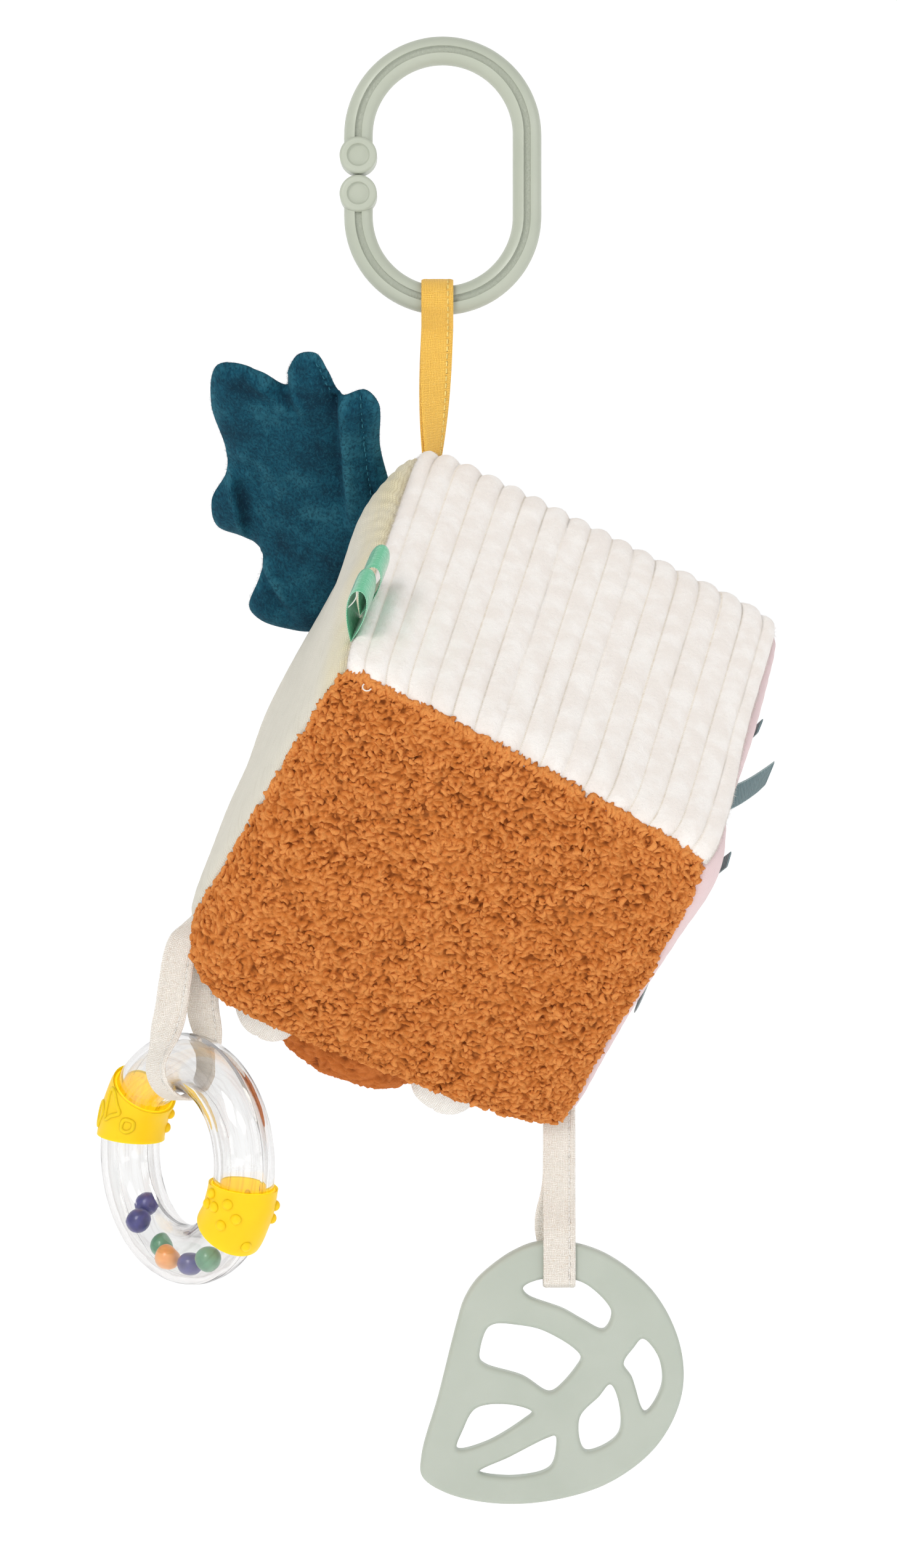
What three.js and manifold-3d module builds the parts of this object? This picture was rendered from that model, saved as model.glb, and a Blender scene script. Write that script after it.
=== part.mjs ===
// A soft activity block for a baby. It hangs by one corner from a plastic link ring, and
// carries a clear bead ring and a silicone teether on linen straps at two lower corners.
// Millimetres, +Z up, seen from -Y. The origin is the inner top of the link ring, where
// the toy hangs. The block is a cube turned onto a corner, with its own axes: +X to the
// pink side, -X to the linen side, -Y to the brown front, +Y to the back, +Z to the
// white top and -Z to the bottom.
import * as THREE from "three";
import { mergeVertices } from "three/addons/utils/BufferGeometryUtils.js";
import Module from "manifold-3d";

const wasm = await Module();
wasm.setup();

// General
const clearance = 0.3; // the gap that touching pieces keep
const overrun = 3; // how far a cutting body passes what it cuts
const sliver = 0.01; // facets narrower than this are merged where bodies were cut

// Facets
const gridCount = 10; // along each edge of the block
const bendCount = 16; // half way round a bend of the link ring or the ribbon's loop
const ringCount = 32; // round the bead ring
const tubeCount = 6; // half way round the section of a ring
const sleeveCount = 12; // round the section of a sleeve
const foldCount = 10; // round the fold of a strap
const runCount = 3; // between two places of a strap's run
const bandCount = 8; // along a twisted band
const swingCount = 12; // stops in a swing that a root is cut for
const tagCount = 14;
const headCount = 20;

// Link ring: a C-shaped plastic loop with two round heads that meet at its left side
const linkWidth = 61.8;
const linkHeight = 87.2;
const linkTube = 9;
const linkDepth = 8.5;
const linkGrooveWidth = 2;
const linkGrooveDepth = 1;
const linkHeadDiameter = 11.7;
const linkHeadDepth = 9.6;
const linkHeadRounding = 1;
const linkDimpleRadius = 3.4;
const linkDimpleDepth = 1.1;

// Hanging ribbon: folded over the bottom of the link ring and sewn into the top corner
const ribbonWidth = 10;
const ribbonThickness = 1;
const ribbonDrop = 44.5; // from the underside of the ring to the block's top corner
const ribbonOffset = 1.7; // left of the ring's middle
const ribbonLoopSlack = 1.3; // all round the ring's tube
const ribbonNeck = 9; // from the tube's middle down to where the two layers meet
const ribbonTwistDeg = 48;
const ribbonTwistPower = 1.5;
const ribbonFoldDeg = 20; // how far past a half turn the loop goes on each side
const ribbonNeckShare = 0.25; // half the room between its layers, in thicknesses
const ribbonSeatShare = 0.33; // its sewn end lies right of the corner, in widths
const cornerOffset = 5; // the top corner lies this far left of the ribbon's loop
const blockSwingDeg = 15; // how far the block swings to each side below the ribbon

// Block
const blockEdge = 120;
const blockRoundness = 13; // exponent of the rounded cube
const blockTiltDeg = [42.9, 23.1, -13.2];
const panelThickness = 2;
const fillingWall = 1.5;
const ventWidth = 30; // where the filling is put in
const ribCount = 17;
const ribHeight = 2;
const ribFullness = 0.6; // 1 is a plain wave, less is fuller
const ribPlaceShares = [0, 0.25, 0.75];
const sagDepth = 17.5; // how far the lower front edge hangs out below its two corners
const sagStartShare = 0.07;
const sagFadePower = 0.6;
// Each corner of the stuffed block lies off the true cube, to the right and up, in shares
// of the edge. The corners are named by their signs along the block's own axes.
const cornerShifts = [
  { signs: [-1, -1, 1], rightShare: 0.005, upShare: 0.011 },
  { signs: [-1, 1, 1], rightShare: -0.029, upShare: -0.003 },
  { signs: [1, -1, 1], rightShare: -0.028, upShare: -0.013 },
  { signs: [-1, -1, -1], rightShare: -0.008, upShare: 0.047 },
  { signs: [1, 1, 1], rightShare: -0.009, upShare: -0.012 },
  { signs: [1, -1, -1], rightShare: 0.05, upShare: -0.018 },
  { signs: [-1, 1, -1], rightShare: -0.03, upShare: 0.012 },
];

// Satin tags: ribbon loops in the seam between the linen side and the white top
const tagWidth = 12;
const tagHeight = 19;
const tagSwell = 6.7;
const tagThickness = 0.8;
const tagLeanDeg = 17;
const tagSwellPower = 0.55; // less puts the widest place lower
const tagSwellShare = 0.625;
const tagStarts = [13.5, 27]; // from the near corner, along the seam

// Ribbon ends on the pink side: roots across that side and tips in the block's own axes,
// both in shares of half the edge
const endWidth = 8;
const endThickness = 0.8;
const endBendShare = 0.3;
const ribbonEnds = [
  { rootShares: [0.42, 0.55], tipShares: [1.08, 0.62, 0.74], turnDeg: 29 },
  { rootShares: [-0.05, 0.6], tipShares: [1.27, 0.25, 0.67], turnDeg: 52 },
  { rootShares: [-0.45, 0.35], tipShares: [1.18, -0.26, 0.58], turnDeg: 46 },
  { rootShares: [-0.6, -0.2], tipShares: [1.26, -0.17, -0.8], turnDeg: 11 },
];

// Stuffed shapes on the bottom, of which the photographed side shows the rims
const footLength = 22;
const footWidth = 15;
const footHeight = 11;
const footShares = [[-0.46, -0.84], [0.4, -0.84]];
const bellyLength = 52;
const bellyWidth = 30;
const bellyHeight = 18;
const bellyShares = [-0.08, -0.74];

// Leaf: a padded flap sewn along the seam between the linen side and the back
const leafReach = 70;
const leafThickness = 7;
const leafRim = 2.2; // how far its rounding reaches in from the rim
const leafRootInset = 1.6; // out from the line between the seam's two corners
const leafFoldDeg = 25; // how far it bends either way along the seam
const leafHinge = 2.8; // the line that it bends about lies this far out
// Out from the seam and down along it from the top corner, in shares of the reach
const leafShares = [
  [0, 0.27], [0.165, 0.05], [0.265, -0.165], [0.35, -0.2], [0.44, -0.12], [0.535, -0.195],
  [0.62, -0.25], [0.69, -0.205], [0.7, -0.105], [0.675, -0.015], [0.8, -0.03], [0.94, 0],
  [1, 0.06], [0.94, 0.26], [0.79, 0.45], [0.74, 0.56], [0.74, 0.74], [0.66, 0.86],
  [0.515, 0.85], [0.41, 0.89], [0.375, 1.02], [0.35, 1.2], [0.27, 1.235], [0.1, 1.2],
  [0, 1.15],
];

// Bead ring: a clear tube bent into a ring and split into two half shells
const rattleRadius = 29.7; // of the tube's middle
const rattleTube = 9.3; // radius of the tube
const rattleWall = 2.1;
const rattleTurnDeg = 50; // how far the ring faces away from the viewer
const rattleTiltDeg = 1;
const sleeveThickness = 1.1;
const upperSleeveDeg = [136, 169.5]; // from the side that faces the viewer, up and round
const lowerSleeveDeg = [-44, -12.5];
const bumpRadius = 1.7;
const bumpsAround = 4;
const upperBumpShares = [0.3, 0.7]; // along the sleeve
const lowerBumpShares = [0.25, 0.5, 0.75];
const beadDiameter = 7.6;
const beadOffset = 2.8; // from the tube's middle, where they lie on its wall
const beadAsideShares = [-1, 1, -0.6, 0.7, -0.2, 0.45, -1]; // of that, towards the viewer
const beadAnglesDeg = [-146.5, -135.5, -116.5, -102.3, -87.5, -66.5, -53];

// Straps: flat linen tapes that loop from the block's corners round what they carry
const strapWidth = 10;
const strapThickness = 1.3;
const strapGap = 0.4; // between a strap and what it carries
const strapSwingDeg = 30; // either way from its corner
const strapTurnShare = 0.1; // up to this height it keeps the direction of what it carries
const rattleDrop = 42.2; // from the corner to the middle of the tube
const rattleShift = [-4.1, 3.3]; // the tube's middle from the corner, across and in
const rattleStrapDeg = 92; // where the strap crosses the ring
const rattleStrapSlack = 0.8; // more room under the tube, where the ring curves away
const rattleStrapLeft = 1.2; // the strap's root lies left of the corner
const rattleStrapShares = [[-0.06, 0.98], [-0.42, 0.78], [-0.66, 0.5], [-0.8, 0.26], [-1, 0.06]];
const teetherDrop = 44.3; // from the corner to the middle of the teether's top bar

// Teether: a leaf-shaped silicone plate with a hole between its veins at each side
const teetherWidth = 82.2;
const teetherThickness = 7;
const teetherRounding = 1.6;
const teetherLoopSlack = 1.5; // below the top bar, so that the teether can sway
const teetherRootLeft = 1.7; // the strap's root lies left of the corner
const teetherStrapShare = 0.029; // the strap from the teether's middle
const teetherShares = [
  [-0.054, 0.493], [-0.143, 0.46], [-0.224, 0.406], [-0.287, 0.348], [-0.332, 0.276],
  [-0.36, 0.186], [-0.43, -0.091], [-0.493, -0.315], [-0.491, -0.392], [-0.403, -0.454],
  [-0.215, -0.495], [0, -0.484], [0.224, -0.414], [0.403, -0.271], [0.493, -0.082],
  [0.486, 0.106], [0.394, 0.294], [0.233, 0.433], [0.09, 0.488],
];
const teetherBarShares = [0.352, 0.493]; // the bar that the strap goes round
const teetherHoleShares = [
  [[-0.108, 0.321], [-0.054, 0.35], [0.085, 0.352], [0.161, 0.312], [0.227, 0.227],
    [0.197, 0.164], [0.116, 0.2], [0.045, 0.24], [-0.094, 0.294]],
  [[-0.215, 0.184], [-0.143, 0.182], [-0.027, 0.157], [0.11, 0.061], [0.09, 0.016],
    [0.009, -0.069], [-0.018, -0.072], [-0.108, -0.015], [-0.251, 0.03], [-0.272, 0.052],
    [-0.246, 0.164]],
  [[-0.287, -0.136], [-0.161, -0.121], [-0.074, -0.15], [-0.108, -0.181],
    [-0.251, -0.266], [-0.358, -0.289], [-0.336, -0.217]],
  [[0.013, -0.24], [0.018, -0.28], [-0.007, -0.36], [-0.143, -0.394], [-0.275, -0.376],
    [-0.161, -0.32], [-0.018, -0.248]],
  [[0.222, -0.045], [0.255, -0.118], [0.254, -0.23], [0.179, -0.287], [0.124, -0.293],
    [0.106, -0.172], [0.179, -0.091]],
  [[0.345, 0.128], [0.403, 0.061], [0.417, -0.047], [0.354, -0.15], [0.305, -0.02],
    [0.273, 0.034], [0.309, 0.092]],
];

const up = new THREE.Vector3(0, 0, 1);
const right = new THREE.Vector3(1, 0, 0);
const inward = new THREE.Vector3(0, 1, 0);
const radians = THREE.MathUtils.degToRad;

// Solids are gathered as triangles, welded, and turned so that their faces point out.
class Skin {
  constructor() {
    this.corners = [];
  }

  quad(a, b, c, d) {
    this.corners.push(a, b, c, a, c, d);
  }

  fan(ring, middle) {
    ring.forEach((point, i) => this.corners.push(middle, point, ring[(i + 1) % ring.length]));
  }

  geometry() {
    const flat = this.corners.flatMap((p) => [p.x, p.y, p.z]);
    const loose = new THREE.BufferGeometry();
    loose.setAttribute("position", new THREE.Float32BufferAttribute(flat, 3));
    return facedOut(mergeVertices(loose));
  }
}

function facedOut(geometry) {
  const position = geometry.getAttribute("position");
  const index = [...geometry.index.array];
  const at = (i) => new THREE.Vector3().fromBufferAttribute(position, index[i]);
  let volume = 0;
  for (let i = 0; i < index.length; i += 3) {
    volume += at(i).dot(at(i + 1).cross(at(i + 2)));
  }
  if (volume < 0) index.reverse();
  geometry.setIndex(index);
  return geometry;
}

function middleOf(points) {
  const sum = points.reduce((total, p) => total.add(p), new THREE.Vector3());
  return sum.divideScalar(points.length);
}

// Rings of points, each as long as the others, become one body: closed on itself, or
// with a cap on each end.
function loft(rings, closed = false) {
  const skin = new Skin();
  const last = closed ? rings.length : rings.length - 1;
  for (let i = 0; i < last; i += 1) {
    const near = rings[i];
    const far = rings[(i + 1) % rings.length];
    near.forEach((point, j) => {
      const k = (j + 1) % near.length;
      skin.quad(point, near[k], far[k], far[j]);
    });
  }
  if (!closed) {
    skin.fan([...rings[0]].reverse(), middleOf(rings[0]));
    skin.fan(rings.at(-1), middleOf(rings.at(-1)));
  }
  return skin.geometry();
}

function manifoldOf(geometry) {
  const bare = geometry.clone();
  bare.deleteAttribute("normal");
  bare.deleteAttribute("uv");
  const welded = mergeVertices(bare);
  return new wasm.Manifold(new wasm.Mesh({
    numProp: 3,
    vertProperties: new Float32Array(welded.getAttribute("position").array),
    triVerts: new Uint32Array(welded.index.array),
  }));
}

function geometryOf(solid) {
  const mesh = solid.getMesh();
  const geometry = new THREE.BufferGeometry();
  geometry.setAttribute("position", new THREE.Float32BufferAttribute(mesh.vertProperties, 3));
  geometry.setIndex([...mesh.triVerts]);
  return geometry;
}

function joined(...geometries) {
  const whole = geometries.map(manifoldOf).reduce((sum, next) => sum.add(next));
  return geometryOf(whole.asOriginal().simplify(sliver));
}

function cut(geometry, ...tools) {
  const whole = manifoldOf(geometry);
  const left = tools.map(manifoldOf).reduce((rest, tool) => rest.subtract(tool), whole);
  return geometryOf(left.asOriginal().simplify(sliver));
}

// What is left of a body at rest when others swing both ways about a pivot in it
function cutBySwing(geometry, tools, pivot, axis, swingDeg) {
  const turned = steps(swingCount, -swingDeg, swingDeg).flatMap((turnDeg) => {
    const turn = new THREE.Quaternion().setFromAxisAngle(axis, radians(turnDeg));
    return tools.map((tool) => tool.clone()
      .translate(-pivot.x, -pivot.y, -pivot.z)
      .applyQuaternion(turn)
      .translate(pivot.x, pivot.y, pivot.z));
  });
  return cut(geometry, ...turned);
}

function steps(count, from = 0, to = 1) {
  return Array.from({ length: count + 1 }, (_, i) => from + ((to - from) * i) / count);
}

// More places on the lines between places, for a tape that twists along them
function refined(places, count) {
  const between = places.slice(1).flatMap((next, i) => steps(count).slice(1).map((t) => (
    next.map((value, k) => THREE.MathUtils.lerp(places[i][k], value, t)))));
  return [places[0], ...between];
}

// Link ring

const linkRound = (linkWidth - linkTube) / 2; // radius of the tube's middle at both ends
const linkStraight = linkHeight - linkWidth;
const linkMiddle = new THREE.Vector3(0, 0, -(linkHeight / 2 - linkTube));
const linkBottom = linkMiddle.z - linkStraight / 2 - linkRound; // the tube's middle there

function linkSection() {
  const grooveAngle = Math.asin(linkGrooveWidth / linkTube);
  const half = steps(tubeCount, grooveAngle - Math.PI / 2, Math.PI / 2 - grooveAngle);
  const side = (sign) => half.map((t) => [
    (sign * Math.cos(t) * linkTube) / 2,
    (sign * Math.sin(t) * linkDepth) / 2,
  ]);
  const floor = (sign) => [sign, -sign].map((across) => [
    (across * linkGrooveWidth) / 2,
    sign * (linkDepth / 2 - linkGrooveDepth),
  ]);
  return [...side(1), ...floor(1), ...side(-1), ...floor(-1)];
}

function linkRing() {
  const headRise = (linkHeadDiameter + clearance) / 2;
  const section = linkSection();
  // One section of the tube: square to a spoke at an angle from a bend's middle
  const stop = (angle, height) => section.map(([radial, deep]) => new THREE.Vector3(
    Math.cos(angle) * (linkRound + radial), deep, height + Math.sin(angle) * (linkRound + radial)));
  const ring = loft([
    stop(Math.PI, headRise),
    ...steps(bendCount, Math.PI, 0).map((angle) => stop(angle, linkStraight / 2)),
    ...steps(bendCount, 0, -Math.PI).map((angle) => stop(angle, -linkStraight / 2)),
    stop(-Math.PI, -headRise),
  ]);
  const heads = [headRise, -headRise].map((z) => linkHead().translate(-linkRound, 0, z));
  return joined(ring, ...heads);
}

// A round head with a domed dimple in each face, its axis along Y
function linkHead() {
  const rim = linkHeadDiameter / 2;
  const face = linkHeadDepth / 2;
  const half = [
    [0, face - linkDimpleDepth / 2],
    [linkDimpleRadius / 2, face - (linkDimpleDepth * 2) / 3],
    [linkDimpleRadius, face - linkDimpleDepth],
    [linkDimpleRadius, face],
    [rim - linkHeadRounding, face],
    [rim, face - linkHeadRounding],
  ];
  const mirrored = half.map(([r, y]) => [r, -y]).reverse();
  const outline = [...half, ...mirrored].map(([r, y]) => new THREE.Vector2(r, y)).reverse();
  return manifoldReady(new THREE.LatheGeometry(outline, headCount));
}

function manifoldReady(geometry) {
  geometry.deleteAttribute("normal");
  geometry.deleteAttribute("uv");
  return facedOut(mergeVertices(geometry));
}

// The block's shape: a rounded cube, its corners shifted and its lower front edge sagging

const blockTurn = new THREE.Euler(...blockTiltDeg.map(radians), "XYZ");
const blockSpin = new THREE.Quaternion().setFromEuler(blockTurn);
const unspin = blockSpin.clone().invert();
const shiftedCorners = cornerShifts.map(({ signs, rightShare, upShare }) => ({
  signs,
  shift: new THREE.Vector3(rightShare * blockEdge, 0, upShare * blockEdge).applyQuaternion(unspin),
}));

// A point of the block's surface from its place on the unit cube, some depth inside it
function blockPoint(a, b, c, depth = 0) {
  const place = [a, b, c];
  const powers = place.reduce((sum, t) => sum + Math.abs(t) ** blockRoundness, 0);
  const swell = (place.length / powers) ** (1 / blockRoundness);
  const point = new THREE.Vector3(a, b, c).multiplyScalar((blockEdge / 2) * swell);
  for (const { signs, shift } of shiftedCorners) {
    const weight = signs.reduce((product, sign, i) => (product * (1 + sign * place[i])) / 2, 1);
    point.addScaledVector(shift, weight);
  }
  const along = (a + 1) / 2;
  const nearEdge = (((1 - b) * (1 - c)) / 4) ** 2;
  const hang = (1 - Math.exp(-along / sagStartShare)) * (1 - along) ** sagFadePower;
  point.addScaledVector(new THREE.Vector3(0, -1, -1).normalize(), sagDepth * nearEdge * hang);
  return point.multiplyScalar(1 - depth / (blockEdge / 2));
}

// Each side of the cube: where its two surface directions lead, outward to their left
const sides = {
  pink: (s, t) => [1, s, t],
  linen: (s, t) => [-1, t, s],
  back: (s, t) => [t, 1, s],
  front: (s, t) => [s, -1, t],
  top: (s, t) => [s, t, 1],
  bottom: (s, t) => [t, s, -1],
};

const panelGrid = steps(gridCount, -1, 1);

// One sewn panel: a curved shell with mitred rims
function panel(side, columns, rows, raise = () => 0) {
  const inset = 1 - (2 * clearance) / blockEdge;
  const layer = (depthAt) => columns.map((s) => rows.map((t) => (
    blockPoint(...side(s * inset, t * inset), depthAt(s, t)))));
  const outer = layer((s, t) => -raise(s, t));
  const inner = layer(() => panelThickness);
  const skin = new Skin();
  const lastColumn = columns.length - 1;
  const lastRow = rows.length - 1;
  for (let i = 0; i < lastColumn; i += 1) {
    for (let j = 0; j < lastRow; j += 1) {
      skin.quad(outer[i][j], outer[i + 1][j], outer[i + 1][j + 1], outer[i][j + 1]);
      skin.quad(inner[i][j], inner[i][j + 1], inner[i + 1][j + 1], inner[i + 1][j]);
    }
  }
  for (let i = 0; i < lastColumn; i += 1) {
    skin.quad(outer[i + 1][0], outer[i][0], inner[i][0], inner[i + 1][0]);
    skin.quad(outer[i][lastRow], outer[i + 1][lastRow], inner[i + 1][lastRow], inner[i][lastRow]);
  }
  const [near, far] = [outer, inner].map((rims) => rims[lastColumn]);
  for (let j = 0; j < lastRow; j += 1) {
    skin.quad(outer[0][j], outer[0][j + 1], inner[0][j + 1], inner[0][j]);
    skin.quad(near[j + 1], near[j], far[j], far[j + 1]);
  }
  return skin.geometry();
}

// The whole block's surface at one depth, as a closed body
function blockBody(depth, count) {
  const skin = new Skin();
  const grid = steps(count, -1, 1);
  for (const side of Object.values(sides)) {
    for (let i = 0; i < count; i += 1) {
      for (let j = 0; j < count; j += 1) {
        const corner = (di, dj) => blockPoint(...side(grid[i + di], grid[j + dj]), depth);
        skin.quad(corner(0, 0), corner(1, 0), corner(1, 1), corner(0, 1));
      }
    }
  }
  return skin.geometry();
}

// The filling is drawn as its outer layer, open where it was stuffed
function fillingCore() {
  const outerDepth = panelThickness + clearance;
  const vent = new THREE.BoxGeometry(ventWidth, ventWidth, blockEdge / 2 + overrun);
  vent.translate(0, 0, -blockEdge / 2);
  const room = blockBody(outerDepth + fillingWall, gridCount / 2);
  return cut(blockBody(outerDepth, gridCount), room, vent);
}

function whitePanel(grown = 0) {
  const columns = steps(ribCount, -1, 1).flatMap((s, i) => (
    i < ribCount ? ribPlaceShares.map((share) => s + (2 * share) / ribCount) : [s]));
  const wave = (s) => Math.abs(Math.sin(((s + 1) / 2) * ribCount * Math.PI));
  return panel(sides.top, columns, panelGrid, (s) => grown + ribHeight * wave(s) ** ribFullness);
}

const envelope = (gap) => blockBody(-gap, gridCount);

// Satin tag: a drop-shaped loop of ribbon that stands on the seam
function satinTag(start) {
  const lean = radians(tagLeanDeg);
  const rise = new THREE.Vector3(-Math.sin(lean), 0, Math.cos(lean));
  const side = new THREE.Vector3(Math.cos(lean), 0, Math.sin(lean));
  const drop = (height, swell, lift) => steps(tagCount, 0, 2 * Math.PI).slice(1).map((t) => {
    const level = (1 - Math.cos(t)) / 2;
    const across = swell * tagSwellShare * Math.sin(t) * level ** tagSwellPower;
    return [lift + height * level, across];
  });
  const body = (outline, from, to) => loft([from, to].map((distance) => {
    const b = (2 * distance) / blockEdge - 1;
    const foot = blockPoint(-1, b, 1);
    foot.y = -blockEdge / 2 + distance;
    return outline.map(([level, across]) => (
      foot.clone().addScaledVector(rise, level).addScaledVector(side, across)));
  }));
  const end = start + tagWidth;
  const outside = body(drop(tagHeight, tagSwell, 0), start, end);
  const room = drop(tagHeight - 3 * tagThickness, tagSwell - 2 * tagThickness, 2 * tagThickness);
  const inside = body(room, start - overrun, end + overrun);
  return cut(outside, inside, envelope(clearance), whitePanel(clearance));
}

// Ribbon end on the pink side, curving out from its stitched root to its cut tip
function ribbonEnd({ rootShares, tipShares, turnDeg }) {
  const from = blockPoint(1, ...rootShares);
  const to = new THREE.Vector3(...tipShares).multiplyScalar(blockEdge / 2);
  const middle = from.clone().lerp(to, 1 / 2);
  middle.y = THREE.MathUtils.lerp(from.y, to.y, endBendShare);
  const curve = new THREE.QuadraticBezierCurve3(from, middle, to);
  const turn = radians(turnDeg);
  const flatness = new THREE.Vector3(0, Math.cos(turn), Math.sin(turn));
  const rings = steps(bandCount).map((t) => {
    const forward = curve.getTangent(t);
    const across = flatness.clone().addScaledVector(forward, -flatness.dot(forward)).normalize();
    const thick = forward.clone().cross(across);
    const at = curve.getPoint(t);
    return rectangle(at, across, thick, endWidth, endThickness);
  });
  return cut(loft(rings), envelope(clearance));
}

function rectangle(at, across, thick, width, thickness) {
  return [[-1, -1], [1, -1], [1, 1], [-1, 1]].map(([i, j]) => at.clone()
    .addScaledVector(across, (i * width) / 2)
    .addScaledVector(thick, (j * thickness) / 2));
}

// The stuffed shapes on the bottom are ellipsoids, cut off where they meet the panel
function ellipsoid([a, b], length, width, height) {
  const shape = manifoldReady(new THREE.SphereGeometry(1, 16, 10));
  const foot = blockPoint(a, b, -1);
  shape.scale(length / 2, width / 2, height);
  return shape.translate(foot.x, foot.y, foot.z);
}

function curlBelly() {
  return cut(ellipsoid(bellyShares, bellyLength, bellyWidth, bellyHeight), envelope(clearance));
}

// The feet also stop short of the belly
function footPad(place) {
  const gap = 2 * clearance;
  const belly = ellipsoid(bellyShares, bellyLength + gap, bellyWidth + gap, bellyHeight + gap);
  return cut(ellipsoid(place, footLength, footWidth, footHeight), belly, envelope(clearance));
}

// Leaf

const topCorner = blockPoint(-1, 1, 1);
const farCorner = blockPoint(-1, 1, -1);
const seamDown = farCorner.clone().sub(topCorner).normalize();
const leafOut = new THREE.Vector3(-1, 0, 0).addScaledVector(seamDown, seamDown.x).normalize();
const leafFace = leafOut.clone().cross(seamDown);

function leafPad() {
  const reach = leafReach - leafRootInset;
  const knots = leafShares.map(([out, down]) => (
    new THREE.Vector2(leafRootInset + out * reach, down * leafReach)));
  const outline = smoothOutline(knots, 2, false);
  const rounding = leafThickness / 2 - clearance;
  const pad = manifoldReady(new THREE.ExtrudeGeometry(new THREE.Shape(outline), {
    depth: leafThickness - 2 * rounding,
    steps: 1,
    bevelThickness: rounding,
    bevelSize: leafRim,
    bevelOffset: -leafRim,
    bevelSegments: 2,
  }));
  pad.translate(0, 0, rounding - leafThickness / 2);
  return pad;
}

// The leaf's outside and inside covers are the two halves of the pad, up to the seam
function leafCover(sign) {
  const half = manifoldOf(leafPad()).trimByPlane([0, 0, sign], clearance / 2);
  const cover = geometryOf(half);
  const frame = new THREE.Matrix4().makeBasis(leafOut, seamDown, leafFace);
  frame.setPosition(topCorner.x, topCorner.y, topCorner.z);
  const hinge = topCorner.clone().addScaledVector(leafOut, leafHinge);
  cover.applyMatrix4(frame);
  return cutBySwing(cover, [envelope(clearance)], hinge, seamDown, leafFoldDeg);
}

function smoothOutline(knots, perKnot, closed) {
  const curve = new THREE.CatmullRomCurve3(
    knots.map((p) => new THREE.Vector3(p.x, p.y, 0)), closed, "centripetal");
  const count = (closed ? knots.length : knots.length - 1) * perKnot;
  const points = steps(count).map((t) => curve.getPoint(t));
  if (closed) points.pop();
  return points.map((p) => new THREE.Vector2(p.x, p.y));
}

// Where the block hangs: its top corner lies under the ribbon

const cornerPlace = new THREE.Vector3(
  -ribbonOffset - cornerOffset, 0, linkBottom - linkTube / 2 - ribbonDrop);
const blockPlace = cornerPlace.clone().sub(topCorner.clone().applyQuaternion(blockSpin));

function roomPoint(local) {
  return local.clone().applyQuaternion(blockSpin).add(blockPlace);
}

function inRoom(geometry) {
  const placed = geometry.clone();
  placed.applyQuaternion(blockSpin);
  placed.translate(blockPlace.x, blockPlace.y, blockPlace.z);
  return placed;
}

// Hanging ribbon: a loop round the tube, then both layers down to the block's top corner
function hangingRibbon() {
  const inner = linkTube / 2 + ribbonLoopSlack;
  const outer = inner + ribbonThickness;
  const loop = (radius, neck, width) => {
    const past = radians(ribbonFoldDeg);
    const round = steps(bendCount, -past, Math.PI + past)
      .map((t) => [radius * Math.cos(t), radius * Math.sin(t)]);
    const outline = [...round, [-neck, -ribbonNeck], [neck, -ribbonNeck]];
    return loft([-1, 1].map((sign) => outline.map(([y, z]) => (
      new THREE.Vector3((sign * width) / 2 - ribbonOffset, y, linkBottom + z)))));
  };
  const outside = loop(outer, ribbonThickness, ribbonWidth);
  const inside = loop(inner, ribbonThickness * ribbonNeckShare, ribbonWidth + 2 * overrun);
  const top = new THREE.Vector3(-ribbonOffset, 0, linkBottom - ribbonNeck + ribbonThickness);
  const corner = cornerPlace.clone().addScaledVector(right, ribbonSeatShare * ribbonWidth);
  const rings = steps(bandCount).map((t) => {
    const turn = radians(ribbonTwistDeg) * t ** ribbonTwistPower;
    const across = new THREE.Vector3(Math.cos(turn), Math.sin(turn), 0);
    const thick = new THREE.Vector3(-Math.sin(turn), Math.cos(turn), 0);
    return rectangle(top.clone().lerp(corner, t), across, thick, ribbonWidth, 2 * ribbonThickness);
  });
  const band = joined(cut(outside, inside), loft(rings));
  const tools = [inRoom(envelope(clearance)), inRoom(whitePanel(clearance))];
  return cutBySwing(band, tools, cornerPlace, inward, blockSwingDeg);
}

// A strap: one flat tape from a corner, round what it carries and back to the corner, where
// its two runs are sewn together. Its path is in a frame at the carried bar: out to either
// side, and up.
function strap(bar, corner, blockCorner, outward, along, profile) {
  const lean = corner.clone().sub(bar).setZ(0);
  const topAcross = right.clone().multiplyScalar(Math.sign(along.x));
  const points = profile.map(([out, height]) => {
    const share = THREE.MathUtils.smoothstep(height / (corner.z - bar.z), strapTurnShare, 1);
    const at = bar.clone().addScaledVector(outward, out).addScaledVector(lean, share);
    return {
      at: at.addScaledVector(up, height),
      across: along.clone().lerp(topAcross, share).normalize(),
    };
  });
  const rings = points.map(({ at, across }, i) => {
    const before = points[Math.max(i - 1, 0)].at;
    const after = points[Math.min(i + 1, points.length - 1)].at;
    const forward = after.clone().sub(before).normalize();
    const thick = forward.clone().cross(across).normalize();
    return rectangle(at, across, thick, strapWidth, strapThickness);
  });
  const lowest = Math.floor(rings.length / 2);
  const loop = joined(loft(rings.slice(0, lowest + 1)), loft(rings.slice(lowest)));
  return cutBySwing(loop, [inRoom(envelope(clearance))], blockCorner, right, strapSwingDeg);
}

// Bead ring

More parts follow.
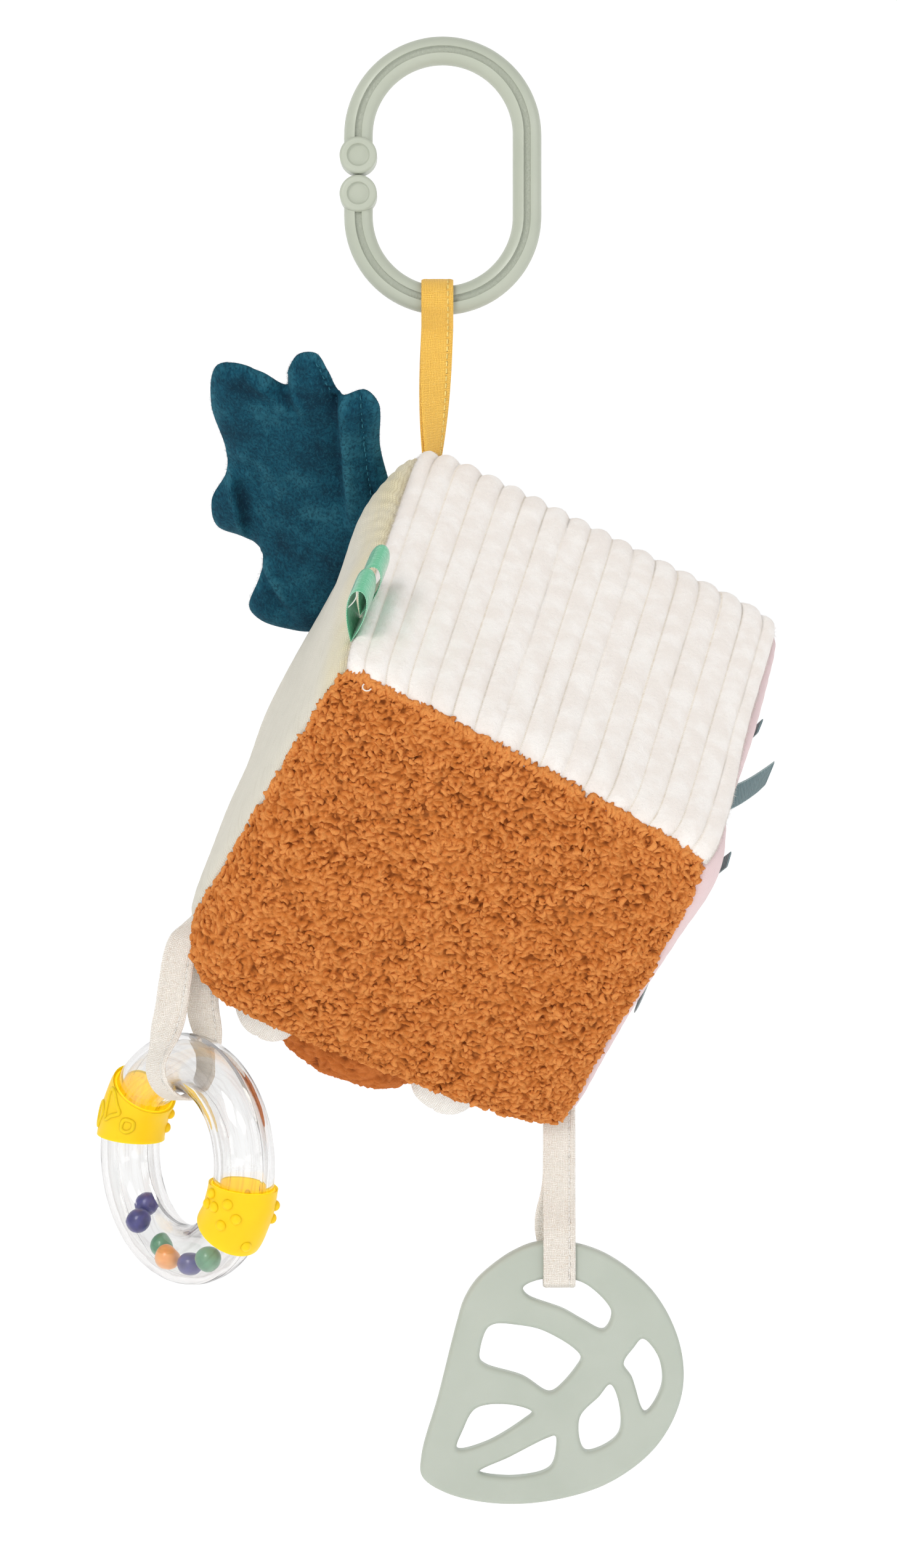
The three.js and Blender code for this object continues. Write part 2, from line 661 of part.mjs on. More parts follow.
const rattleSwing = new THREE.Quaternion().setFromAxisAngle(inward, -radians(rattleTiltDeg));
const facing = radians(rattleTurnDeg);
const rattleAxis = new THREE.Vector3(-Math.sin(facing), -Math.cos(facing), 0);
rattleAxis.applyQuaternion(rattleSwing);
const rattleSide = new THREE.Vector3(Math.cos(facing), -Math.sin(facing), 0);
rattleSide.applyQuaternion(rattleSwing);
const rattleUp = up.clone().applyQuaternion(rattleSwing);

const rattleCorner = roomPoint(blockPoint(-1, -1, -1));
const rattleBar = rattleCorner.clone().add(new THREE.Vector3(...rattleShift, -rattleDrop));
const strapSpoke = rattleSpoke(radians(rattleStrapDeg));
const rattlePlace = rattleBar.clone().addScaledVector(strapSpoke, -rattleRadius);

function rattleSpoke(angle) {
  const sideways = rattleSide.clone().multiplyScalar(Math.cos(angle));
  return sideways.addScaledVector(rattleUp, Math.sin(angle));
}

// A point of the bead ring: an angle round it, and a place across its tube
function rattlePoint(angle, radial, axial) {
  return rattlePlace.clone()
    .addScaledVector(rattleSpoke(angle), rattleRadius + radial)
    .addScaledVector(rattleAxis, axial);
}

function rattleHalf(sign) {
  const bore = rattleTube - rattleWall;
  const arc = (radius) => {
    const edge = Math.asin(clearance / 2 / radius);
    return steps(tubeCount, edge, Math.PI - edge)
      .map((t) => [radius * Math.cos(t), sign * radius * Math.sin(t)]);
  };
  const section = [...arc(rattleTube), ...arc(bore).reverse()];
  const turns = steps(ringCount, 0, 2 * Math.PI).slice(1);
  return loft(turns.map((angle) => (
    section.map(([radial, axial]) => rattlePoint(angle, radial, axial)))), true);
}

// A soft sleeve on the bead ring, with rows of half round bumps
function sleeve([fromDeg, toDeg], bumpShares) {
  const around = steps(sleeveCount, 0, 2 * Math.PI).slice(1);
  const pass = overrun / rattleRadius;
  const tube = (radius, extra) => {
    const angles = steps(gridCount / 2, radians(fromDeg) - extra, radians(toDeg) + extra);
    return loft(angles.map((angle) => around.map((t) => (
      rattlePoint(angle, radius * Math.cos(t), radius * Math.sin(t))))));
  };
  const outside = rattleTube + clearance + sleeveThickness;
  const bumps = bumpShares.flatMap((share) => steps(bumpsAround, 0, 2 * Math.PI).slice(1).map((turn) => {
    const bump = manifoldReady(new THREE.SphereGeometry(bumpRadius, 6, 4));
    const angle = radians(THREE.MathUtils.lerp(fromDeg, toDeg, share));
    const phase = turn + share * Math.PI;
    const at = rattlePoint(angle, outside * Math.cos(phase), outside * Math.sin(phase));
    return bump.translate(at.x, at.y, at.z);
  }));
  return cut(joined(tube(outside, 0), ...bumps), tube(rattleTube + clearance, pass));
}

function bead(number) {
  const ball = manifoldReady(new THREE.SphereGeometry(beadDiameter / 2, 10, 6));
  const aside = beadAsideShares[number] * beadOffset;
  const outward = Math.sqrt(beadOffset ** 2 - aside ** 2);
  const at = rattlePoint(radians(beadAnglesDeg[number]), outward, aside);
  return ball.translate(at.x, at.y, at.z);
}

function rattleStrap() {
  const radius = rattleTube + strapGap + strapThickness / 2;
  const root = rattleCorner.clone().addScaledVector(right, -rattleStrapLeft);
  const down = refined(rattleStrapShares, runCount)
    .map(([out, height]) => [out * radius, height * rattleDrop]);
  const under = steps(foldCount, Math.PI, 2 * Math.PI).map((t) => (
    [radius * Math.cos(t), radius * Math.sin(t) - rattleStrapSlack]));
  const back = down.map(([out, height]) => [-out, height]).reverse();
  const outward = rattleAxis.clone().multiplyScalar(-1);
  const along = rattleSpoke(radians(rattleStrapDeg - 90));
  return strap(rattleBar, root, rattleCorner, outward, along, [...down, ...under, ...back]);
}

// Teether

const teetherCorner = roomPoint(blockPoint(1, -1, -1));
const [barLowShare, barHighShare] = teetherBarShares;
const barHeight = (barHighShare - barLowShare) * teetherWidth;
const teetherBar = teetherCorner.clone().add(new THREE.Vector3(-teetherRootLeft, 0, -teetherDrop));
const teetherPlace = teetherBar.clone()
  .addScaledVector(right, -teetherStrapShare * teetherWidth)
  .addScaledVector(up, (-(barLowShare + barHighShare) / 2) * teetherWidth);

function teetherPlate() {
  const sized = (points) => smoothOutline(
    points.map(([x, y]) => new THREE.Vector2(x * teetherWidth, y * teetherWidth)), 2, true);
  const shape = new THREE.Shape(sized(teetherShares));
  shape.holes = teetherHoleShares.map((points) => new THREE.Path(sized(points)));
  const plate = manifoldReady(new THREE.ExtrudeGeometry(shape, {
    depth: teetherThickness - 2 * teetherRounding,
    steps: 1,
    bevelThickness: teetherRounding,
    bevelSize: teetherRounding,
    bevelOffset: -teetherRounding,
    bevelSegments: 2,
  }));
  plate.translate(0, 0, teetherRounding - teetherThickness / 2);
  plate.rotateX(Math.PI / 2);
  return plate.translate(teetherPlace.x, teetherPlace.y, teetherPlace.z);
}

function teetherStrap() {
  const out = teetherThickness / 2 + strapGap + strapThickness / 2;
  const low = -barHeight / 2 - teetherLoopSlack - strapThickness / 2;
  const fold = teetherRounding + strapThickness / 2;
  const high = barHeight / 2 + out;
  const neck = strapThickness;
  const down = [[-neck, teetherDrop], [-neck, high + out], [-out, high], [-out, low + fold]];
  const under = steps(foldCount, Math.PI, 2 * Math.PI).slice(1, -1)
    .map((t) => [out * Math.cos(t), low + fold * (1 + Math.sin(t))]);
  const back = down.map(([y, z]) => [-y, z]).reverse();
  const root = teetherBar.clone().addScaledVector(up, teetherDrop);
  return strap(teetherBar, root, teetherCorner, inward, right, [...down, ...under, ...back]);
}

// Materials

function material(color, roughness, opacity = 1) {
  return new THREE.MeshStandardMaterial({
    color, roughness, metalness: 0, opacity, transparent: opacity < 1,
  });
}

const sagePlastic = material(0xc4cbbe, 0.45);
const yellowLinen = material(0xebb950, 0.9);
const whitePlush = material(0xf0eae4, 0.95);
const brownCurls = material(0xc87d3c, 1);
const linen = material(0xc8c0a0, 0.95);
const pinkJersey = material(0xd7bebe, 0.95);
const peachCotton = material(0xe0a988, 0.95);
const greyVelour = material(0x9a8c8c, 0.95);
const wadding = material(0xf4f2ee, 1);
const greenSatin = material(0x64be8c, 0.4);
const tealGrosgrain = material(0x5a7378, 0.7);
const strapLinen = material(0xe4dcd0, 0.95);
const blueVelour = material(0x235569, 0.95);
const clearPlastic = material(0xf4f7f8, 0.08, 0.35);
const yellowSilicone = material(0xf5d71e, 0.5);
const sageSilicone = material(0xbac6b9, 0.55);
const purpleBead = material(0x46418c, 0.35);
const greenBead = material(0x649b78, 0.35);
const orangeBead = material(0xeba05a, 0.35);

const toy = new THREE.Group();
const block = new THREE.Group();
block.quaternion.copy(blockSpin);
block.position.copy(blockPlace);
toy.add(block);

function add(name, geometry, finish, parent = toy) {
  const mesh = new THREE.Mesh(geometry, finish);
  mesh.name = name;
  parent.add(mesh);
}

add("link_ring", linkRing().translate(...linkMiddle.toArray()), sagePlastic);
add("hanging_ribbon", hangingRibbon(), yellowLinen);

add("filling_core", fillingCore(), wadding, block);
add("white_ribbed_panel", whitePanel(), whitePlush, block);
add("brown_curl_panel", panel(sides.front, panelGrid, panelGrid), brownCurls, block);
add("linen_panel", panel(sides.linen, panelGrid, panelGrid), linen, block);
add("pink_panel", panel(sides.pink, panelGrid, panelGrid), pinkJersey, block);
add("peach_back_panel", panel(sides.back, panelGrid, panelGrid), peachCotton, block);
add("grey_bottom_panel", panel(sides.bottom, panelGrid, panelGrid), greyVelour, block);
tagStarts.forEach((start, i) => {
  add(["front_satin_tag", "rear_satin_tag"][i], satinTag(start), greenSatin, block);
});
ribbonEnds.forEach((end, i) => {
  add(`pink_side_ribbon_${i + 1}`, ribbonEnd(end), tealGrosgrain, block);
});
footShares.forEach((place, i) => {
  add(["left_foot_pad", "right_foot_pad"][i], footPad(place), strapLinen, block);
});
add("curl_belly", curlBelly(), brownCurls, block);
add("leaf_outer_cover", leafCover(1), blueVelour, block);
add("leaf_inner_cover", leafCover(-1), blueVelour, block);

add("rattle_strap", rattleStrap(), strapLinen);
add("rattle_front_half", rattleHalf(1), clearPlastic);
add("rattle_rear_half", rattleHalf(-1), clearPlastic);
add("upper_sleeve", sleeve(upperSleeveDeg, upperBumpShares), yellowSilicone);
add("lower_sleeve", sleeve(lowerSleeveDeg, lowerBumpShares), yellowSilicone);
const beadFinishes = [
  purpleBead, purpleBead, greenBead, orangeBead, purpleBead, greenBead, orangeBead,
];
beadFinishes.forEach((finish, i) => add(`bead_${i + 1}`, bead(i), finish));

add("teether_strap", teetherStrap(), strapLinen);
add("teether", teetherPlate(), sageSilicone);

export default toy;
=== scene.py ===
"""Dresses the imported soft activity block, and sets its camera, light and floor.

Lengths are millimetres until a mesh is made. The block's own axes are those of the CAD
source: +X to the pink side, -X to the linen side, -Y to the brown front, +Y to the back,
+Z to the white top and -Z to the bottom.
"""
import math

import bmesh
import bpy
import numpy as np
from mathutils.geometry import delaunay_2d_cdt
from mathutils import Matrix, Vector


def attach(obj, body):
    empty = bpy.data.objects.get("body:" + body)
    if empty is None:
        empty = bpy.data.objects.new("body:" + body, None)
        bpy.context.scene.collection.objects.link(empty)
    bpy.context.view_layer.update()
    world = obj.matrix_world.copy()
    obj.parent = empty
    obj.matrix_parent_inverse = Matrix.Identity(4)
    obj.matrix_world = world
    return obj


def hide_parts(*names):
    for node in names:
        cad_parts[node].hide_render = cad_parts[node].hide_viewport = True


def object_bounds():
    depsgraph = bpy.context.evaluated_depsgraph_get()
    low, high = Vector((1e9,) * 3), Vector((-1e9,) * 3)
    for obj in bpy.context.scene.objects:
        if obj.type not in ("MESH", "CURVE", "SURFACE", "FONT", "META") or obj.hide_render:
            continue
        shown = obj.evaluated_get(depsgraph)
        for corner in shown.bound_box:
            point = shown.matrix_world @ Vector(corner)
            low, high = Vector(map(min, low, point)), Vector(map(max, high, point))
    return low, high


MM = 0.001
TURN = 2 * math.pi

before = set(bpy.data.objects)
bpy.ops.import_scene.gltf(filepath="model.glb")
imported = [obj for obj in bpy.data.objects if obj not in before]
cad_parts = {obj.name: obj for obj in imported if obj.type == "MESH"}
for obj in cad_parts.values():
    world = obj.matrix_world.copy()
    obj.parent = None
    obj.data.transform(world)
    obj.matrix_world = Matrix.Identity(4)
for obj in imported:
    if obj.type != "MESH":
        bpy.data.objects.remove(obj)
cad_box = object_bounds()
scene = bpy.context.scene


def srgb(*colour):
    """A colour as a screen shows it, red, green and blue from 0 to 255, for a shader."""
    values = [c / 255 for c in colour]
    linear = [c / 12.92 if c <= 0.04045 else ((c + 0.055) / 1.055) ** 2.4 for c in values]
    return (*linear, 1.0)


def unit(vectors):
    return vectors / np.linalg.norm(vectors, axis=-1, keepdims=True)


def eased(share):
    """A share from 0 to 1 that starts and ends gently."""
    return share * share * (3 - 2 * share)


def bell(away, width, power=2):
    """1 at no distance, falling to 1 / e at width."""
    return np.exp(-np.abs(away / width) ** power)


# Camera and light

CAMERA_PLACE = (1.8, -1319.3, -225.1)

camera_data = bpy.data.cameras.new("camera")
camera_data.lens = 96.7
camera = bpy.data.objects.new("camera", camera_data)
camera.location = [MM * c for c in CAMERA_PLACE]
camera.rotation_euler = (math.pi / 2, 0, 0)
scene.collection.objects.link(camera)
scene.camera = camera
scene.view_settings.view_transform = "Standard"


def area_light(name, place, size, power, colour=(1, 1, 1)):
    """A square lamp that is aimed at the middle of the toy."""
    data = bpy.data.lights.new(name, "AREA")
    data.size = size
    data.energy = power
    data.color = colour
    lamp = bpy.data.objects.new(name, data)
    lamp.location = place
    away = np.array(place) - MIDDLE
    across = math.hypot(away[0], away[1])
    lamp.rotation_euler = (math.atan2(across, away[2]), 0, math.atan2(away[0], -away[1]))
    scene.collection.objects.link(lamp)


MIDDLE = np.array([0, 0, -0.24])
area_light("key_light", (-0.8, -1.5, 0.75), 0.7, 11, (1, 0.985, 0.955))
area_light("side_light", (1.5, -0.7, 0.3), 0.9, 4)
area_light("low_light", (-0.5, -1.4, -0.75), 0.9, 4)


def studio_world():
    """Even light from before and behind, and less from both sides, to shape the edges."""
    side_level, gain = 0.5, 0.4
    world = bpy.data.worlds.new("studio")
    world.use_nodes = True
    scene.world = world
    tree = world.node_tree
    tree.nodes.clear()
    place = tree.nodes.new("ShaderNodeTexCoord")
    parts = tree.nodes.new("ShaderNodeSeparateXYZ")
    tree.links.new(place.outputs["Generated"], parts.inputs[0])
    square = tree.nodes.new("ShaderNodeMath")
    square.operation = "POWER"
    square.inputs[1].default_value = 2
    tree.links.new(parts.outputs["Y"], square.inputs[0])
    level = tree.nodes.new("ShaderNodeMath")
    level.operation = "MULTIPLY_ADD"
    level.inputs[1].default_value = gain
    level.inputs[2].default_value = side_level
    tree.links.new(square.outputs[0], level.inputs[0])
    back = tree.nodes.new("ShaderNodeBackground")
    back.inputs["Color"].default_value = (0.985, 0.99, 1, 1)
    tree.links.new(level.outputs[0], back.inputs["Strength"])
    out = tree.nodes.new("ShaderNodeOutputWorld")
    tree.links.new(back.outputs[0], out.inputs[0])


studio_world()


# Materials


class Look:
    """A node material round one Principled shader. Its patterns are in millimetres."""

    def __init__(self, name, colour, roughness, **more):
        self.material = bpy.data.materials.new(name)
        self.material.use_nodes = True
        self.tree = self.material.node_tree
        self.tree.nodes.clear()
        self.shader = self.node("BsdfPrincipled")
        out = self.node("OutputMaterial")
        self.link(self.shader.outputs[0], out.inputs[0])
        self.normal = None
        self.set("Base Color", colour)
        self.set("Roughness", roughness)
        for key, value in more.items():
            self.set(key.replace("_", " ").title(), value)

    def node(self, kind):
        return self.tree.nodes.new("ShaderNode" + kind)

    def link(self, source, target):
        self.tree.links.new(source, target)

    def put(self, socket, value):
        if isinstance(value, bpy.types.NodeSocket):
            self.link(value, socket)
        else:
            socket.default_value = value

    def set(self, name, value):
        self.put(self.shader.inputs[name.replace("Ior", "IOR")], value)

    def place(self, kind="Object", stretch=(1, 1, 1)):
        """Coordinates in millimetres: Object in the room's axes, UV along a cloth."""
        source = self.node("TexCoord")
        scale = self.node("VectorMath")
        scale.operation = "MULTIPLY"
        metres = 1000 if kind == "Object" else 1
        scale.inputs[1].default_value = [metres * s for s in stretch]
        self.link(source.outputs[kind], scale.inputs[0])
        return scale.outputs[0]

    def apart(self, vector):
        parts = self.node("SeparateXYZ")
        self.link(vector, parts.inputs[0])
        return parts.outputs

    def maths(self, operation, *values):
        node = self.node("Math")
        node.operation = operation
        for socket, value in zip(node.inputs, values):
            self.put(socket, value)
        return node.outputs[0]

    def times(self, first, second):
        return self.maths("MULTIPLY", first, second)

    def wave(self, value, period):
        """Round ridges: 0 at their feet and 1 at their tops, one in each period."""
        return self.maths("ABSOLUTE", self.maths("SINE", self.times(value, math.pi / period)))

    def noise(self, vector, size, detail=2.0, rough=0.5):
        node = self.node("TexNoise")
        self.link(vector, node.inputs["Vector"])
        node.inputs["Scale"].default_value = 1 / size
        node.inputs["Detail"].default_value = detail
        node.inputs["Roughness"].default_value = rough
        return node.outputs["Fac"]

    def attribute(self, name):
        node = self.node("Attribute")
        node.attribute_name = name
        return node.outputs["Fac"]

    def ramp(self, value, *stops):
        node = self.node("ValToRGB")
        ramp = node.color_ramp
        while len(ramp.elements) < len(stops):
            ramp.elements.new(0.5)
        for element, (place, colour) in zip(ramp.elements, stops):
            element.position = place
            element.color = colour if len(colour) == 4 else (*colour, 1)
        self.link(value, node.inputs[0])
        return node.outputs["Color"]

    def span(self, value, low, high, to_low=0.0, to_high=1.0):
        """Runs from to_low to to_high, gently, while value runs from low to high."""
        node = self.node("MapRange")
        node.interpolation_type = "SMOOTHSTEP"
        for key, number in zip(("From Min", "From Max", "To Min", "To Max"), (low, high, to_low, to_high)):
            node.inputs[key].default_value = number
        self.link(value, node.inputs["Value"])
        return node.outputs[0]

    def blend(self, amount, below, above):
        node = self.node("Mix")
        node.data_type = "RGBA"
        self.put(node.inputs["Factor"], amount)
        self.put(node.inputs[6], below)
        self.put(node.inputs[7], above)
        return node.outputs[2]

    def bump(self, height, depth):
        """Adds a relief as deep as depth where height runs from 0 to 1."""
        node = self.node("Bump")
        node.inputs["Distance"].default_value = depth * MM
        node.inputs["Strength"].default_value = 1
        self.link(height, node.inputs["Height"])
        if self.normal is not None:
            self.link(self.normal, node.inputs["Normal"])
        self.normal = node.outputs[0]
        self.link(self.normal, self.shader.inputs["Normal"])

    def dashes(self, place, width, period, part):
        """A row of stitches beside a tape's middle line: 1 on the thread and 0 off it."""
        u, v, _ = self.apart(self.place("UV"))
        near = self.maths("ABSOLUTE", self.maths("SUBTRACT", u, place))
        across = self.span(near, width * 0.35, width * 0.6, 1.0, 0.0)
        return self.times(across, self.span(self.wave(v, period), 1 - part, 1 - part + 0.25))

    def weave(self, across, along, loose=0.0):
        """A plain weave over UVs: threads of these widths, and how high each place is."""
        place = self.place("UV")
        u, v, _ = self.apart(place)
        if loose:
            other = self.place("UV", (-1.1, 0.9, 1))
            u = self.maths("ADD", u, self.times(self.noise(place, 1.9, 2), loose))
            v = self.maths("ADD", v, self.times(self.noise(other, 1.9, 2), loose))
        threads = [self.maths("SINE", self.times(c, math.pi / w)) for c, w in ((u, across), (v, along))]
        over = self.span(self.times(*threads), -0.12, 0.12)
        warp, weft = (self.maths("ABSOLUTE", thread) for thread in threads)

        def arch(round_, long):
            crown = self.maths("MULTIPLY_ADD", self.maths("POWER", long, 0.6), 0.5, 0.5)
            return self.times(self.maths("POWER", round_, 0.7), crown)

        first, second = arch(warp, weft), arch(weft, warp)
        return self.maths("MULTIPLY_ADD", over, self.maths("SUBTRACT", first, second), second)


def plush_look():
    """Short white nap. The groove attribute marks where the rows of stitches show between the ribs."""
    look = Look("white_plush", srgb(248, 243, 236), 0.95, sheen_weight=0.25, sheen_roughness=0.6)
    room = look.place()
    fuzz = look.noise(room, 0.45, 3, 0.7)
    nap = look.noise(room, 7, 2)
    groove = look.attribute("groove")
    pile = look.blend(look.span(nap, 0.35, 0.7), srgb(247, 239, 232), srgb(254, 249, 244))
    pile = look.blend(look.span(fuzz, 0.3, 0.75, 0.0, 0.25), pile, srgb(238, 228, 219))
    along = look.apart(look.place("UV"))[1]
    stitch = look.wave(along, 0.75)
    stitch = look.times(stitch, look.span(look.noise(room, 1.7, 2), 0.3, 0.6, 0.35, 1.0))
    thread = look.blend(look.span(stitch, 0.2, 0.8), srgb(228, 213, 191), srgb(246, 238, 226))
    look.set("Base Color", look.blend(look.span(groove, 0.72, 0.98, 0.0, 0.8), pile, thread))
    look.bump(fuzz, 0.28)
    look.bump(look.noise(room, 1.6, 2), 0.3)
    return look.material


def curl_look(name, deep, middle, light):
    """Curly pile, with painted shade where the level attribute is low, deep between the curls."""
    look = Look(
        name, middle, 1.0, sheen_weight=0.3, sheen_roughness=0.6, sheen_tint=light, specular_ior_level=0.25)
    room = look.place()
    level = look.attribute("level")
    fibre = look.noise(room, 0.42, 3, 0.7)
    patch = look.noise(room, 11, 2)
    # Painted shade low in the pile and painted light on the tops of the curls.
    colour = look.ramp(level, (0.05, deep), (0.42, middle), (0.95, light))
    colour = look.blend(look.span(fibre, 0.35, 0.75, 0.0, 0.3), colour, deep)
    colour = look.blend(look.span(patch, 0.4, 0.7, 0.0, 0.2), colour, light)
    look.set("Base Color", colour)
    look.bump(fibre, 0.4)
    return look.material


def cloth_look(
        name, ground, thread, fleck, across, along, depth=0.16, rows=(), run=0.16, loose=0.0, sewn=None):
    """A plain woven cloth. Its flecks are 1 / run mm long, and rows are rows of stitches."""
    slub = 0.5
    look = Look(name, ground, 0.92, sheen_weight=0.12, sheen_roughness=0.5)
    height = look.weave(across, along, loose)
    weft = look.noise(look.place("UV", (run, 1.9, 1)), 1.0, 2)
    warp = look.noise(look.place("UV", (1.9, run, 1)), 1.0, 2)
    # Painted shade: low places between the threads take the darker ground colour.
    colour = look.blend(look.span(height, 0.1, 0.75), ground, thread)
    colour = look.blend(look.span(weft, 0.56, 0.74, 0.0, slub), colour, fleck)
    colour = look.blend(look.span(warp, 0.58, 0.76, 0.0, slub * 0.8), colour, fleck)
    colour = look.blend(look.span(look.noise(look.place("UV"), 9, 1), 0.35, 0.7, 0.0, 0.25), colour, thread)
    look.bump(height, depth)
    look.bump(look.noise(look.place("UV"), 0.4, 2), depth * 0.6)
    for row in rows:
        place, width, period, _ = row
        trough = look.dashes(place, width * 2.2, period, 1.5)
        # Painted shade in the sunk line beside the stitches.
        colour = look.blend(look.times(trough, 0.15), colour, ground)
        stitch = look.dashes(*row)
        colour = look.blend(stitch, colour, sewn or thread)
        look.bump(look.maths("SUBTRACT", stitch, look.times(trough, 0.5)), 0.2)
    look.set("Base Color", colour)
    return look.material


def velour_look(name, dark, middle, light, sheen):
    """Brushed pile. Its pile attribute holds painted light and shade, and thread marks its stitches."""
    look = Look(
        name, middle, 0.8, sheen_weight=sheen, sheen_roughness=0.35, sheen_tint=light,
        specular_ior_level=0.15)
    room = look.place()
    brushed = look.noise(room, 17, 9, 0.66)
    warp_size, warp_reach = 4, 2.4
    bent = look.node("VectorMath")
    bent.operation = "MULTIPLY_ADD"
    warp = look.node("TexNoise")
    look.link(room, warp.inputs["Vector"])
    warp.inputs["Scale"].default_value = 1 / warp_size
    look.link(warp.outputs["Color"], bent.inputs[0])
    bent.inputs[1].default_value = [warp_reach] * 3
    look.link(look.place(stretch=(1, 1, 0.55)), bent.inputs[2])
    tuft = look.noise(bent.outputs[0], 0.75, 4, 0.72)
    # The pile attribute adds painted light and shade to the brushed tone.
    lay = look.maths("ADD", brushed, look.times(look.attribute("pile"), 0.16))
    colour = look.ramp(lay, (0.3, dark), (0.5, middle), (0.76, light))
    colour = look.blend(look.span(tuft, 0.36, 0.54, 0.7, 0.0), colour, dark)
    colour = look.blend(look.span(tuft, 0.5, 0.7, 0.0, 0.3), colour, light)
    colour = look.blend(look.attribute("thread"), colour, light)
    look.set("Base Color", colour)
    look.bump(tuft, 0.75)
    look.bump(look.noise(room, 0.3, 2), 0.14)
    return look.material


def knit_look():
    """A fine knit: columns of loops along its V direction, golden where it is stretched."""
    look = Look("linen_knit", srgb(206, 198, 170), 0.95, sheen_weight=0.15, sheen_roughness=0.5)
    place = look.place("UV")
    u, v, _ = look.apart(place)
    waver = look.times(look.noise(place, 6, 2), 1.6)
    column = look.maths("DIVIDE", look.maths("ADD", u, waver), 0.95)
    ridge = look.wave(column, 1)
    row = look.maths("ADD", look.maths("DIVIDE", v, 0.8), look.times(ridge, 0.55))
    loop = look.wave(row, 1)
    height = look.maths("POWER", look.times(ridge, loop), 0.6)
    wale = look.noise(look.place("UV", (1.0, 0.07, 1)), 1.3, 2)
    white_seam = 60
    near = look.span(look.maths("ABSOLUTE", look.maths("SUBTRACT", u, white_seam)), 2, 24, 1.0, 0.0)
    ground = look.blend(near, srgb(208, 202, 186), srgb(208, 194, 156))
    thread = look.blend(near, srgb(226, 222, 208), srgb(234, 224, 190))
    # Painted shade: low places between the loops take the darker ground colour.
    colour = look.blend(look.span(height, 0.05, 0.8), ground, thread)
    colour = look.blend(look.span(wale, 0.45, 0.75, 0.0, 0.4), colour, srgb(204, 197, 178))
    colour = look.blend(look.span(look.noise(place, 10, 2), 0.35, 0.7, 0.0, 0.3), colour, srgb(228, 223, 208))
    look.set("Base Color", colour)
    look.bump(height, 0.12)
    look.bump(look.noise(place, 0.35, 2), 0.12)
    return look.material


def satin_look():
    """Ribbon satin 12 mm wide, with a fine looped edge."""
    look = Look(
        "green_satin", srgb(98, 190, 142), 0.3, sheen_weight=0.35, sheen_roughness=0.3, coat_weight=0.5)
    streak = look.noise(look.place("UV", (2.6, 0.4, 1)), 1.0, 4, 0.7)
    # The light streaks are painted sheen, the sparkle of the satin's floats, over the weave's own streaks.
    dark, middle, light = srgb(88, 180, 134), srgb(108, 194, 152), srgb(142, 212, 178)
    colour = look.ramp(streak, (0.3, dark), (0.5, middle), (0.72, light))
    u, v, _ = look.apart(look.place("UV"))
    side = look.maths("ABSOLUTE", u)
    picot = look.wave(v, 0.8)
    edge = look.times(look.span(side, 5.7, 5.95), look.span(picot, 0.3, 0.9, 0.0, 0.6))
    colour = look.blend(look.span(side, 5.2, 5.6, 0.0, 0.25), colour, srgb(66, 160, 114))
    look.set("Base Color", look.blend(edge, colour, srgb(176, 222, 196)))
    look.set("Roughness", look.span(streak, 0.3, 0.8, 0.16, 0.34))
    look.bump(look.weave(0.28, 0.4), 0.03)
    look.bump(picot, 0.06)
    return look.material


def grosgrain_look():
    """Ribbed ribbon 8 mm wide, with paler edges."""
    look = Look("teal_grosgrain", srgb(86, 112, 116), 0.6, sheen_weight=0.2)
    u, v, _ = look.apart(look.place("UV"))
    rib = look.wave(v, 0.7)
    fibre = look.noise(look.place("UV", (0.5, 3, 1)), 1.0, 2)
    # Painted shade at the feet of the ribs and painted light on their tops.
    colour = look.blend(look.span(rib, 0.1, 0.8), srgb(54, 78, 84), srgb(98, 126, 130))
    colour = look.blend(look.span(fibre, 0.5, 0.8, 0.0, 0.4), colour, srgb(140, 164, 166))
    edge = look.span(look.maths("ABSOLUTE", u), 3.5, 3.8)
    look.set("Base Color", look.blend(edge, colour, srgb(150, 170, 170)))
    look.bump(rib, 0.22)
    return look.material


def moulded_look(name, colour, darker, rough, soft, shine=0.5):
    """Plastic or silicone, with painted shade in a sunk groove and a painted glow where light comes through.
    """
    look = Look(
        name, colour, rough, subsurface_weight=soft, subsurface_radius=(0.004, 0.004, 0.003),
        subsurface_scale=0.4, ior=1.45, specular_ior_level=shine)
    room = look.place()
    cloud = look.noise(room, 16, 3)
    sunk = look.attribute("sunk")
    # Painted shade for the groove: a darker colour blended in where sunk is high.
    shade = tuple(0.72 * c for c in darker[:3]) + (1,)
    body = look.blend(look.span(cloud, 0.3, 0.75, 0.0, 0.6), colour, darker)
    # Painted glow: a soft emission in the material's own colour, standing in for light that comes through the
    # silicone.
    look.set("Emission Color", colour)
    look.set("Emission Strength", look.times(look.attribute("painted_light"), 0.5))
    look.set("Base Color", look.blend(look.times(sunk, 0.4), body, shade))
    grain = look.noise(room, 0.3, 2)
    look.bump(look.times(look.noise(room, 0.7, 2), sunk), 0.3)
    look.set("Roughness", look.span(look.noise(room, 5, 3), 0.3, 0.7, rough - 0.06, rough + 0.08))
    look.bump(grain, 0.02)
    look.bump(look.noise(room, 9, 2), 0.05)
    return look.material


